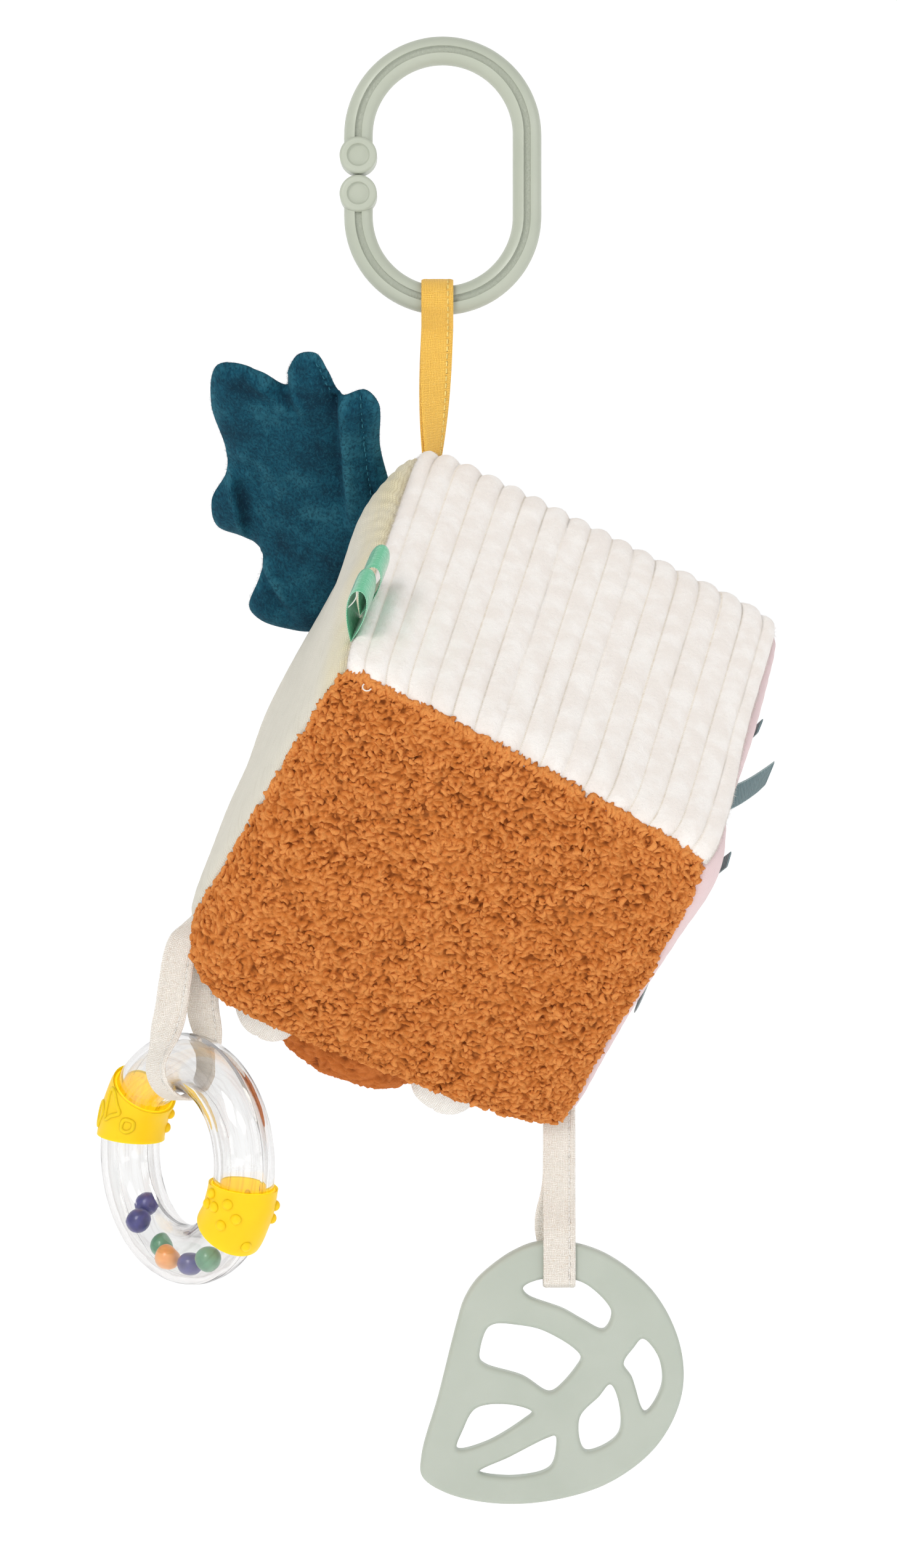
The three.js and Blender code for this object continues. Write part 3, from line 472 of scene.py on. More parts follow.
def clear_look():
    """Clear plastic, painted a little grey edge on and in streaks round the ring, for reflections in its
    walls.
    """
    look = Look("clear_plastic", (0.985, 0.98, 0.975, 1), 0.02, transmission_weight=1.0, ior=1.49)
    wave = look.noise(look.place(), 9, 1)
    slant = look.node("LayerWeight")
    slant.inputs["Blend"].default_value = 0.5
    # Painted reflection, with some of the thick walls' absorption: darker grey the more edge on the surface
    # is seen.
    face_on, slanting, steep, edge_on = (
        (0.955, 0.955, 0.95), (0.88, 0.875, 0.865), (0.66, 0.635, 0.62), (0.32, 0.29, 0.28))
    grey = look.ramp(
        slant.outputs["Facing"], (0.0, face_on), (0.45, slanting), (0.76, steep), (1.0, edge_on))
    # Painted grey streaks round the ring, standing in for reflections along its walls.
    streak = look.noise(look.place("UV", (0.55, 0.02, 1)), 1.0, 3, 0.65)
    look.set("Base Color", look.blend(look.span(streak, 0.52, 0.66, 0.0, 0.5), grey, (0.66, 0.62, 0.6, 1)))
    look.set("Roughness", look.span(wave, 0.3, 0.8, 0.0, 0.03))
    look.bump(wave, 0.12)
    through = look.node("BsdfTransparent")
    through.inputs["Color"].default_value = (0.96, 0.955, 0.95, 1)
    ray = look.node("LightPath")
    passing = look.maths("MAXIMUM", ray.outputs["Is Shadow Ray"], ray.outputs["Is Diffuse Ray"])
    mix = look.node("MixShader")
    look.link(passing, mix.inputs[0])
    look.link(look.shader.outputs[0], mix.inputs[1])
    look.link(through.outputs[0], mix.inputs[2])
    out = next(n for n in look.tree.nodes if n.type == "OUTPUT_MATERIAL")
    look.link(mix.outputs[0], out.inputs[0])
    return look.material


def bead_look(name, colour, darker):
    """Glossy plastic in faint clouds of two colours."""
    look = Look(name, colour, 0.32, ior=1.5, coat_weight=0.3, coat_roughness=0.15)
    cloud = look.noise(look.place(), 2.4, 3)
    look.set("Base Color", look.blend(look.span(cloud, 0.35, 0.75), colour, darker))
    look.bump(cloud, 0.03)
    return look.material


def floor_look():
    """A nearly white floor, which glows a little, as a photographer's lit background."""
    look = Look("pale_floor", srgb(250, 250, 250), 0.9, emission_color=(1, 1, 1, 1), emission_strength=0.32)
    cloud = look.noise(look.place(), 300, 2)
    look.set("Base Color", look.blend(look.span(cloud, 0.3, 0.7), srgb(251, 251, 251), srgb(249, 249, 249)))
    return look.material


PLUSH = plush_look()
CURLS = curl_look("brown_curls", srgb(132, 64, 17), srgb(208, 120, 50), srgb(236, 154, 82))
SHORN = curl_look("brown_short_curls", srgb(130, 62, 20), srgb(187, 100, 40), srgb(210, 122, 58))
LINEN = knit_look()
JERSEY = cloth_look(
    "pink_jersey", srgb(216, 188, 190), srgb(229, 206, 206), srgb(218, 190, 192), 0.45, 0.6, 0.05)
PEACH = cloth_look("peach_cotton", srgb(208, 148, 116), srgb(236, 184, 152), srgb(246, 214, 190), 0.5, 0.5)
TAPE = cloth_look(
    "strap_linen", srgb(206, 193, 175), srgb(246, 241, 233), srgb(208, 186, 162), 0.5, 0.5, 0.16,
    rows=((3.1, 0.35, 1.9, 0.75),), run=0.7, loose=1.0, sewn=srgb(250, 247, 241))
PAD = cloth_look(
    "pad_linen", srgb(214, 206, 193), srgb(252, 250, 246), srgb(220, 206, 190), 0.55, 0.55, 0.16,
    run=0.7, loose=1.0)
YELLOW = cloth_look(
    "yellow_linen", srgb(208, 146, 40), srgb(252, 202, 92), srgb(250, 208, 112), 0.5, 0.5, 0.16,
    rows=((3.3, 0.5, 2.3, 0.62),), run=0.6, loose=0.8, sewn=srgb(255, 222, 128))
GREY = velour_look("grey_velour", srgb(132, 116, 118), srgb(160, 144, 146), srgb(186, 172, 172), 0.3)
PETROL = velour_look("blue_velour", srgb(6, 44, 63), srgb(16, 77, 98), srgb(54, 118, 136), 0.08)
SATIN = satin_look()
GROSGRAIN = grosgrain_look()
SAGE_PLASTIC = moulded_look("sage_plastic", srgb(182, 187, 172), srgb(175, 181, 165), 0.34, 0.06)
SAGE_SILICONE = moulded_look("sage_silicone", srgb(183, 190, 179), srgb(176, 184, 172), 0.46, 0.15)
SILICONE = moulded_look("yellow_silicone", srgb(252, 208, 16), srgb(248, 198, 10), 0.42, 0.5, 0.3)
CLEAR = clear_look()
BEADS = {
    "purple_bead": bead_look("purple_bead", srgb(62, 60, 140), srgb(46, 44, 112)),
    "green_bead": bead_look("green_bead", srgb(98, 160, 124), srgb(78, 138, 104)),
    "orange_bead": bead_look("orange_bead", srgb(255, 174, 82), srgb(250, 158, 62)),
}
THREAD = cloth_look(
    "white_thread", srgb(226, 220, 210), srgb(246, 242, 236), srgb(214, 206, 196), 0.3, 0.3, 0.05)


# Mesh tools


def quads(rows, columns, closed_rows=False, closed_columns=False):
    """Faces of a grid of points, row by row."""
    i = np.arange(rows if closed_rows else rows - 1)[:, None]
    j = np.arange(columns if closed_columns else columns - 1)[None, :]
    i2, j2 = (i + 1) % rows, (j + 1) % columns
    corners = [i * columns + j, i2 * columns + j, i2 * columns + j2, i * columns + j2]
    return np.stack(corners, -1).reshape(-1, 4)


def make(name, points, faces, look, uv=None, values=None, sharp=None):
    """A smooth mesh object. UVs and values are given for each point."""
    points = np.asarray(points, float).reshape(-1, 3)
    faces = np.asarray(faces)
    mesh = bpy.data.meshes.new(name)
    mesh.vertices.add(len(points))
    mesh.vertices.foreach_set("co", (points * MM).astype(np.float32).ravel())
    mesh.loops.add(faces.size)
    mesh.loops.foreach_set("vertex_index", faces.astype(np.int32).ravel())
    mesh.polygons.add(len(faces))
    mesh.polygons.foreach_set("loop_start", np.arange(0, faces.size, faces.shape[1], dtype=np.int32))
    mesh.update(calc_edges=True)
    mesh.validate()
    if uv is not None:
        layer = mesh.uv_layers.new(name="cloth")
        corners = np.zeros(len(mesh.loops), np.int32)
        mesh.loops.foreach_get("vertex_index", corners)
        layer.data.foreach_set("uv", np.asarray(uv, float).reshape(-1, 2)[corners].astype(np.float32).ravel())
    for key, numbers in (values or {}).items():
        layer = mesh.attributes.new(key, "FLOAT", "POINT")
        layer.data.foreach_set("value", np.asarray(numbers, np.float32).ravel())
    mesh.polygons.foreach_set("use_smooth", np.ones(len(mesh.polygons), bool))
    if sharp:
        mesh.set_sharp_from_angle(angle=math.radians(sharp))
    mesh.materials.append(look)
    piece = bpy.data.objects.new(name, mesh)
    scene.collection.objects.link(piece)
    return piece


def joined(*parts):
    """Several (points, faces) as one, in triangles."""
    points, faces, count = [], [], 0
    for some, corners in parts:
        some, corners = np.asarray(some, float).reshape(-1, 3), np.asarray(corners) + count
        if corners.shape[1] == 4:
            corners = np.concatenate([corners[:, [0, 1, 2]], corners[:, [0, 2, 3]]])
        points.append(some)
        faces.append(corners)
        count += len(some)
    return np.concatenate(points), np.concatenate(faces)


def weld(piece):
    """Joins the corners that lie on each other, and turns all faces out."""
    made = bmesh.new()
    made.from_mesh(piece.data)
    bmesh.ops.remove_doubles(made, verts=made.verts[:], dist=1e-6)
    bmesh.ops.recalc_face_normals(made, faces=made.faces[:])
    made.to_mesh(piece.data)
    made.free()


def dressed(piece, body, slot, *replaced):
    """Lets a piece ride its body, in the place of CAD nodes; its slot is not used."""
    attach(piece, body)
    if replaced:
        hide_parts(*replaced)


TABLE_SIZE = 32
TABLE = np.random.default_rng(3).random([TABLE_SIZE] * 3)


def noise(points, size, seed):
    """Smooth noise from 0 to 1 at points, with lumps of about size."""
    place = np.asarray(points, float) / size + 1000 + 17.3 * seed
    low = np.floor(place).astype(int)
    part = eased(place - low)
    total = 0
    for corner in np.ndindex(2, 2, 2):
        weight = np.prod([part[..., k] if corner[k] else 1 - part[..., k] for k in range(3)], axis=0)
        index = [(low[..., k] + corner[k]) % TABLE_SIZE for k in range(3)]
        total = total + weight * TABLE[tuple(index)]
    return total


def uneven(points, size, seed):
    """Smooth noise from -0.5 to 0.5."""
    return noise(points, size, seed) - 0.5


def shaken(points, size, seed):
    """A small random move at each point, from -0.5 to 0.5 along each axis."""
    return np.stack([uneven(points, size, seed + k) for k in range(3)], -1)


def smoothed(knots, per_knot, closed):
    """A centripetal Catmull-Rom curve through the knots, as the CAD source has it."""
    knots = np.asarray(knots, float)
    count = len(knots)
    found = []
    for i in range(count if closed else count - 1):
        if closed:
            p0, p1, p2, p3 = (knots[(i + k) % count] for k in (-1, 0, 1, 2))
        else:
            p1, p2 = knots[i], knots[i + 1]
            p0 = knots[i - 1] if i else 2 * p1 - p2
            p3 = knots[i + 2] if i + 2 < count else 2 * p2 - p1
        pairs = (p0, p1), (p1, p2), (p2, p3)
        d0, d1, d2 = (max(math.sqrt(np.linalg.norm(b - a)), 1e-4) for a, b in pairs)
        t1 = ((p1 - p0) / d0 - (p2 - p0) / (d0 + d1) + (p2 - p1) / d1) * d1
        t2 = ((p2 - p1) / d1 - (p3 - p1) / (d1 + d2) + (p3 - p2) / d2) * d1
        square, cube = 3 * (p2 - p1) - 2 * t1 - t2, 2 * (p1 - p2) + t1 + t2
        for t in np.arange(per_knot) / per_knot:
            found.append(p1 + t1 * t + square * t**2 + cube * t**3)
    if not closed:
        found.append(knots[-1])
    return np.array(found)


# The block's shape, as in the CAD source

EDGE = 120
HALF = EDGE / 2
ROUNDNESS = 13
SAG = 17.5
SAG_START = 0.07
SAG_FADE = 0.6
# A corner's signs, and how far it lies off the even block to the viewer's right and up, in edges
CORNER_SHIFTS = (
    ((-1, -1, 1), 0.005, 0.011), ((-1, 1, 1), -0.029, -0.003), ((1, -1, 1), -0.028, -0.013),
    ((-1, -1, -1), -0.008, 0.047), ((1, 1, 1), -0.009, -0.012), ((1, -1, -1), 0.05, -0.018),
    ((-1, 1, -1), -0.03, 0.012),
)


def turn_about(axis, angle):
    """The matrix of a turn about X, Y or Z, numbered 0 to 2."""
    c, s = math.cos(angle), math.sin(angle)
    rows = {0: [[1, 0, 0], [0, c, -s], [0, s, c]], 1: [[c, 0, s], [0, 1, 0], [-s, 0, c]],
            2: [[c, -s, 0], [s, c, 0], [0, 0, 1]]}
    return np.array(rows[axis])


TILT = [math.radians(a) for a in (42.9, 23.1, -13.2)]
SPIN = turn_about(0, TILT[0]) @ turn_about(1, TILT[1]) @ turn_about(2, TILT[2])


def block_point(place, depth=0):
    """Points of the block's surface, or that deep inside it, from places on the unit cube."""
    place = np.asarray(place, float)
    powers = np.sum(np.abs(place) ** ROUNDNESS, axis=-1, keepdims=True)
    points = place * HALF * (3 / powers) ** (1 / ROUNDNESS)
    for signs, right, up in CORNER_SHIFTS:
        weight = np.prod((1 + np.array(signs) * place) / 2, axis=-1, keepdims=True)
        points = points + weight * (np.array([right, 0, up]) * EDGE @ SPIN)
    # The lower front edge sags, most next to the linen side
    along = np.clip((place[..., 0] + 1) / 2, 0, 1)
    near = ((1 - place[..., 1]) * (1 - place[..., 2]) / 4) ** 2
    hang = (1 - np.exp(-along / SAG_START)) * (1 - along) ** SAG_FADE
    points = points + (SAG * near * hang)[..., None] * unit(np.array([0, -1, -1]))
    return points * (1 - depth / HALF)


TOP = block_point([-1, 1, 1])
CORNER = np.array([-6.7, 0, -122.7])
BLOCK_PLACE = CORNER - SPIN @ TOP


def in_room(points):
    """Points from the block's axes, as they hang in the room."""
    return np.asarray(points, float) @ SPIN.T + BLOCK_PLACE


SIDES = {
    "pink": lambda s, t: (1 + 0 * s, s, t),
    "linen": lambda s, t: (-1 + 0 * s, t, s),
    "back": lambda s, t: (t, 1 + 0 * s, s),
    "front": lambda s, t: (s, -1 + 0 * s, t),
    "top": lambda s, t: (s, t, 1 + 0 * s),
    "bottom": lambda s, t: (t, s, -1 + 0 * s),
}
OUTWARD = {side: np.array(at(0, 0)) for side, at in SIDES.items()}


def on_side(side, s, t):
    """Points of one side and their outward normals, in the block's axes."""
    at = lambda a, b: block_point(np.stack(SIDES[side](a, b), -1))
    step = 0.01
    normal = unit(np.cross(at(s + step, t) - at(s - step, t), at(s, t + step) - at(s, t - step)))
    facing = np.sign(np.sum(normal * OUTWARD[side], -1, keepdims=True))
    return at(s, t), normal * facing


def edges_away(s, t):
    """How far places of a side lie from its edges, in millimetres: across s and across t."""
    return (1 - np.abs(s)) * HALF, (1 - np.abs(t)) * HALF


def side_grid(count_s, count_t):
    """A side's parameters, closer together at its rims, where one more ring turns in."""
    def spread(count):
        t = np.linspace(-1, 1, count - 2)
        t = np.sign(t) * (1 - (1 - np.abs(t)) ** 1.15)
        return np.concatenate([[-1], t, [1]])

    s, t = np.meshgrid(spread(count_s), spread(count_t), indexing="ij")
    rim = np.zeros(s.shape, bool)
    rim[[0, -1], :] = True
    rim[:, [0, -1]] = True
    return s, t, rim


STRAND_POINTS = 10


def fibres(roots, ways, length, width, seed, bend=0.5, spread=0.45):
    """Thin bent hairs from their roots along their ways, each a closed strand of three sides."""
    rng = np.random.default_rng(seed)
    count = len(roots)
    ways = unit(unit(ways) + rng.normal(0, spread, ways.shape))
    aside = rng.normal(0, bend, ways.shape)
    size = rng.uniform(0.5, 1.2, (count, 1, 1)) * length
    t = np.array([0, 0.4, 0.8, 1])[None, :, None]
    spine = roots[:, None] + (ways[:, None] * t + aside[:, None] * t**2 / 2) * size
    side = unit(np.cross(ways, [0.31, 0.52, 0.8]))
    other = np.cross(ways, side)
    rings = []
    for k in range(3):
        out = math.cos(TURN * k / 3) * side + math.sin(TURN * k / 3) * other
        rings.append(spine[:, :3] + out[:, None] * width / 2 * (1 - 0.7 * t[:, :3]))
    points = np.concatenate([np.stack(rings, 2).reshape(count, 9, 3), spine[:, 3:]], 1)
    grid = quads(3, 3, closed_columns=True)
    ends = [[0, 2, 1], [6, 7, 9], [7, 8, 9], [8, 6, 9]]
    strand = np.concatenate([grid[:, [0, 1, 2]], grid[:, [0, 2, 3]], ends])
    faces = strand[None] + STRAND_POINTS * np.arange(count)[:, None, None]
    return points.reshape(-1, 3), faces.reshape(-1, 3)


RIM_DEPTH = 5.0
SEAM_WIDTH = 1.8


def turned_in(side, s, t, rim, points):
    """Points of a side, of which those on its rim lie inside the block."""
    inside = block_point(np.stack(SIDES[side](s, t), -1), RIM_DEPTH)
    return np.where(rim[..., None], inside, points).reshape(-1, 3)


def side_piece(name, side, look, height, count=(90, 90), seam=1.3, groove=None, shift=None, pile=None):
    """One sewn side: its cloth dips into the seams and its rims turn in. Height gives its relief,
    shift moves it, and groove marks the places of its stitches."""
    def surface(s, t):
        """Points of the cloth and their outward normals."""
        edge_s, edge_t = edges_away(s, t)
        points, normal = on_side(side, s, t)
        dip = seam * bell(np.minimum(edge_s, edge_t), SEAM_WIDTH)
        points = points + normal * (height(s, t, edge_s, edge_t, points) - dip)[..., None]
        return points + shift(s, t) if shift else points, normal

    s, t, rim = side_grid(*count)
    points = turned_in(side, s, t, rim, surface(s, t)[0])
    uv = np.stack([s * HALF, t * HALF], -1).reshape(-1, 2)
    dents = groove(s, t).ravel() if groove else np.zeros(len(points))
    faces = quads(*s.shape)
    if pile:
        hairs, strands = rim_pile(side, *pile, surface)
        uv = np.concatenate([uv, np.zeros((len(hairs), 2))])
        dents = np.concatenate([dents, np.zeros(len(hairs))])
        points, faces = joined((points, faces), (hairs, strands))
    piece = make(name, in_room(points), faces, look, uv, {"groove": dents})
    return piece


def rim_pile(side, count, length, width, deep, seed, surface):
    """Fibres along a side's rim, leaning outwards over its neighbours."""
    rng = np.random.default_rng(seed)
    along, where = rng.uniform(-1, 1, count), rng.integers(0, 4, count)
    inset = 1 - (0.2 + rng.exponential(deep, count)) / HALF
    sign = np.where(where % 2, 1.0, -1.0)
    s = np.where(where < 2, sign * inset, along)
    t = np.where(where < 2, along, sign * inset)
    roots, normal = surface(s, t)
    step = 0.02
    s2, t2 = np.where(where < 2, s + sign * step, s), np.where(where < 2, t, t + sign * step)
    out = unit(on_side(side, s2, t2)[0] - on_side(side, s, t)[0])
    return fibres(roots - normal * 0.1, normal * 0.45 + out, length, width, seed)


RIBS = 17


def rib_wave(s):
    """1 on the ribs' ridges and 0 in the seams between them."""
    return np.abs(np.sin((s + 1) / 2 * RIBS * math.pi))


def rib_height(s, t, edge_s, edge_t, points):
    """Round ribs, lower at the seams and deeper towards the back."""
    wobble = 0.012 * uneven(points, 22, 1)
    ends = 1 - 0.85 * bell(edge_t, 2.4, 1.6)
    puffs = 0.5 * uneven(points, 14, 2) + 0.3 * uneven(points, 5, 3)
    sides = 1 - 0.5 * bell(edge_s, 2.0)
    depth = 1.45 + 1.0 * eased(np.clip((t - 0.55) / 0.4, 0, 1))
    ribs = depth * (rib_wave(s + wobble) ** 0.6 - 0.5) * ends * sides
    return 1.1 * sides + ribs + puffs * ends * rib_wave(s)


def rib_ends(s, t):
    """Pushes the ribs' ends out as round noses, and the lower right edge over the pink side."""
    uneven_row = 0.6 + 0.8 * np.sin(7 * s + 9 * s * s) ** 2
    near = rib_wave(s) ** 0.6 * bell((1 + t) * HALF, 2.6) * uneven_row
    right = 2.2 * bell((1 - s) * HALF, 5, 1) * np.clip((0.1 - t) / 0.6, 0, 1)
    return near[..., None] * np.array([0, -0.35, -0.2]) + right[..., None] * np.array([1, 0, 0])


POINTS_PER_RIB = 14
# How many hairs, how long and thick, how far from the seam they stand, and their seed
RIM_HAIRS = (8000, 1.1, 0.055, 1.0, 61)
white = side_piece(
    "white_plush_side", "top", PLUSH, rib_height, (RIBS * POINTS_PER_RIB + 3, 110), seam=0.6,
    groove=lambda s, t: 1 - rib_wave(s) ** 0.8, shift=rib_ends, pile=RIM_HAIRS)
dressed(white, "block", "white_plush", "white_ribbed_panel")


def slack(amount, size, seed):
    """Low lumps, amount high and size wide, and puckers near the seams, as in lightly stuffed cloth."""
    pucker_height, pucker_period = 0.3, 6.5

    def height(s, t, edge_s, edge_t, points):
        edge = np.minimum(edge_s, edge_t)
        along = np.where(edge_s < edge_t, t, s) * HALF
        pucker = np.sin(along * TURN / pucker_period + 3 * noise(points, 15, seed)) * np.exp(-edge / 4)
        return amount * uneven(points, size, seed) + pucker_height * pucker

    return height


def bulges(s, t, rows):
    """Round swellings. A row says how high one is, its place and width in s, and then those in t."""
    return sum(high * bell(s - s0, wide_s) * bell(t - t0, wide_t) for high, s0, wide_s, t0, wide_t in rows)


def caught(way, s0, t0, wide_s, wide_t):
    """Moves the cloth round one place, as where it is caught in a seam."""
    return lambda s, t: bulges(s, t, [(1, s0, wide_s, t0, wide_t)])[..., None] * np.array(way)


LINEN_BULGES = ((4.4, 0.68, 0.3, 0.58, 0.28), (2.0, 0.6, 0.35, -0.05, 0.4))
PINK_BULGES = ((2.5, -0.8, 0.17, 0.74, 0.3), (1.3, 0.2, 0.28, 0.85, 0.3), (-1.4, -0.45, 0.15, 0.85, 0.3))


def gathered(s, t, edge_s, edge_t, points):
    """Slack, with ripples square to the white seam in the half next to the leaf."""
    ripple_period = 5.2
    ripple = np.sin(TURN * (t * HALF - 0.6 * edge_s) / ripple_period + 5 * noise(points, 11, 14))
    ripple = ripple * np.exp(-edge_s / 9)
    upper = np.clip((t + 0.1) / 0.4, 0, 1) * np.clip((1.05 - t) / 0.2, 0, 1)
    full = bulges(s, t, LINEN_BULGES) * (1 - bell(edge_s, 2.5))
    return full + slack(1.6, 26, 4)(s, t, edge_s, edge_t, points) + 0.5 * ripple * upper


def drawn_in(s, t, edge_s, edge_t, points):
    """Slack, full at the front top corner and flatter above and below it."""
    below = 1.8 * bell(s + 1, 0.45) * np.clip((0.3 - t) / 0.5, 0, 1)
    return bulges(s, t, PINK_BULGES) - below + slack(1.8, 24, 5)(s, t, edge_s, edge_t, points)


def lifted(s, t, edge_s, edge_t, points):
    """Slack, drawn up along the front edge."""
    return slack(1.8, 25, 7)(s, t, edge_s, edge_t, points) - 2.2 * np.exp(-(1 + s) * HALF / 6)


linen = side_piece("linen_side", "linen", LINEN, gathered, (130, 130))
dressed(linen, "block", "linen", "linen_panel")
pink = side_piece("pink_side", "pink", JERSEY, drawn_in)
dressed(pink, "block", "pink_jersey", "pink_panel")
peach = side_piece(
    "peach_back", "back", PEACH, slack(1.6, 28, 6), shift=caught((-2.6, 0.6, 0), -0.41, -1, 0.06, 0.12))
dressed(peach, "block", "peach_cotton", "peach_back_panel")
grey = side_piece("grey_bottom", "bottom", GREY, lifted, shift=caught((0, 0, -5), -0.72, -0.86, 0.22, 0.2))
dressed(grey, "block", "grey_velour", "grey_bottom_panel", "filling_core")


# Curly pile


def ball(level):
    """The points and faces of a unit sphere."""
    made = bmesh.new()
    bmesh.ops.create_icosphere(made, subdivisions=level, radius=1)
    points = np.array([v.co for v in made.verts])
    faces = np.array([[v.index for v in f.verts] for f in made.faces])
    made.free()
    return points, faces


def tufts(centres, normals, length, width, seed):
    """Short bent curls, one at each centre, lying in all directions, and how high each point is."""
    rng = np.random.default_rng(seed)
    count = len(centres)
    shape, faces = ball(2)
    flow = TURN * noise(centres, 9, seed) + rng.normal(0, 1.0, count)
    helper = np.where(np.abs(normals[:, :1]) < 0.7, [[1.0, 0, 0]], [[0, 1.0, 0]])
    east = unit(np.cross(normals, helper))
    north = np.cross(normals, east)
    forward = east * np.cos(flow)[:, None] + north * np.sin(flow)[:, None]
    rise = rng.normal(0, 0.35, count)[:, None]
    forward = unit(forward + normals * rise)
    side = unit(np.cross(normals, forward))
    top = np.cross(forward, side)
    size = rng.uniform(0.65, 1.25, (count, 1))
    long, wide = length * size * rng.uniform(0.75, 1.2, (count, 1)), width * size
    high = width * size * rng.uniform(0.85, 1.3, (count, 1))
    x, y, z = (shape[None, :, k] for k in range(3))
    x = np.sign(x) * np.abs(x) ** 0.62
    x, y, z = x * long, y * wide * (1 - 0.25 * x), z * high
    bend = rng.uniform(0.6, 1.9, (count, 1)) * rng.choice([-1, 1], (count, 1)) / long
    y = y + bend * x * x * 0.5
    lift = rng.uniform(-0.1, 0.85, (count, 1)) * width
    points = centres[:, None] + x[..., None] * forward[:, None]
    points = points + y[..., None] * side[:, None] + (z + lift)[..., None] * top[:, None]
    points = points + 0.26 * shaken(points, 1.5, seed + 2)
    height = np.sum((points - centres[:, None]) * normals[:, None], -1)
    # How high each point stands, used as painted shade and light in the brown pile.
    level = np.clip((height + 0.4) / (2.6 * width), 0, 1) + rng.normal(0, 0.07, (count, 1))
    corners = faces[None] + (np.arange(count) * len(shape))[:, None, None]
    return points.reshape(-1, 3), corners.reshape(-1, 3), level.ravel()


def curl_relief(s, t, cells, seed):
    """How high a pile of short merged curls stands at places of a side, from 0 to about 1.
    One bent curl lies in each cell."""
    rng = np.random.default_rng(seed)
    size = EDGE / cells
    shape = (cells, cells)
    off = rng.uniform(0.02, 0.98, (2, *shape))
    turn, bend = rng.uniform(0, TURN, shape), rng.uniform(-0.5, 0.5, shape)
    long, wide, high = (rng.uniform(a, b, shape) for a, b in ((0.9, 2.0), (0.5, 0.8), (0.45, 1.0)))
    u, v = (s + 1) / 2 * cells, (t + 1) / 2 * cells
    best = np.zeros(u.shape)
    for di in range(-2, 3):
        for dj in range(-2, 3):
            i = np.clip(np.floor(u).astype(int) + di, 0, cells - 1)
            j = np.clip(np.floor(v).astype(int) + dj, 0, cells - 1)
            x, y = (u - i - off[0][i, j]) * size, (v - j - off[1][i, j]) * size
            a = x * np.cos(turn[i, j]) + y * np.sin(turn[i, j])
            b = y * np.cos(turn[i, j]) - x * np.sin(turn[i, j]) - bend[i, j] * a * a
            far = (a / long[i, j]) ** 2 + (b / wide[i, j]) ** 2
            best = np.maximum(best, high[i, j] * np.exp(-far ** 1.3))
    return best


def taken_in(s, t):
    """How far the brown side's lower and right edges lie inside the solid's. The upper stands up."""
    right = 2.4 * np.exp(-(1 - s) * HALF / 6) * np.clip((0.2 - t) / 0.5, 0, 1)
    low = 2.0 * np.exp(-(1 + t) * HALF / 5) + 2.1 * np.exp(-(1 - t) * HALF / 3.5) * np.sqrt(1 - s * s)
    return np.stack([right, 0 * right, -low], -1)


def curl_surface(s, t):
    """The top of the brown side's pile, its outward normals and how high it stands."""
    ground, out = on_side("front", s, t)
    edge = np.minimum(*edges_away(s, t))
    relief = 0.8 * curl_relief(s, t, 66, 21) + 0.35 * curl_relief(s, t, 104, 20)
    rough = uneven(ground + 0.7 * relief[..., None], 0.9, 23)
    clumps = uneven(ground, 3.8, 24)
    height = 1.2 * uneven(ground, 20, 8) + 1.3 * clumps + 2.2 * relief + 0.6 * rough - 0.5
    height = height - 1.0 * bell(edge, 1.6)
    top = ground + out * height[..., None] + 0.5 * shaken(ground, 2.1, 25) - taken_in(s, t)
    return top, out, relief + 0.4 * rough + 0.45 * clumps


def rim_places(rng, count):
    """Random places within 1.4 mm of a side's rim, more of them along its upper edge."""
    along, where = rng.uniform(-0.99, 0.99, count), rng.integers(0, 5, count)
    near = (1 - rng.uniform(0.0, 1.4, count) / HALF) * np.where(where % 2, -1.0, 1.0)
    upper = np.where(where == 4, np.abs(near), near)
    return np.where(where < 2, near, along), np.where(where < 2, along, upper)


def curl_side():
    """The brown side: a ground of merged curls, with single curls and loose hairs on it."""
    rim_curls, inner_curls, hair_count = 1200, 2900, 4500
    rng = np.random.default_rng(11)
    s, t, rim = side_grid(330, 330)
    ground, _, relief = curl_surface(s, t)
    ground = turned_in("front", s, t, rim, ground)
    rim_s, rim_t = rim_places(rng, rim_curls)
    centres, normals = on_side("front", rim_s, rim_t)
    edge = np.minimum(*edges_away(rim_s, rim_t))
    centres = centres + normals * (0.1 - 0.5 * np.exp(-edge))[:, None] - taken_in(rim_s, rim_t)
    inner, inner_normals, _ = curl_surface(*rng.uniform(-0.97, 0.97, (2, inner_curls)))
    centres = np.concatenate([centres, inner - 0.55 * inner_normals])
    curls, faces, level = tufts(centres, np.concatenate([normals, inner_normals]), 1.45, 0.76, 21)
    roots, out, high = curl_surface(*rng.uniform(-0.985, 0.985, (2, hair_count)))
    loose = rng.normal(0, 0.9, (hair_count, 3))
    hairs, strands = fibres(roots - out * 0.05, out + loose, 1.25, 0.07, 22, bend=0.9)
    points, faces = joined((curls, faces), (ground, quads(*s.shape)), (hairs, strands))
    # Levels of the curls, the merged ground and the hairs: painted shade where they are low.
    level = np.concatenate([level, relief.ravel(), np.repeat(high + 0.1, STRAND_POINTS)])
    piece = make("brown_curl_side", in_room(points), faces, CURLS, values={"level": level})
    dressed(piece, "block", "brown_curls", "brown_curl_panel")


curl_side()


# Stuffed shapes under the block


PAD_SIZE = (22, 15, 11)
BELLY_SIZE = (52, 30, 18)


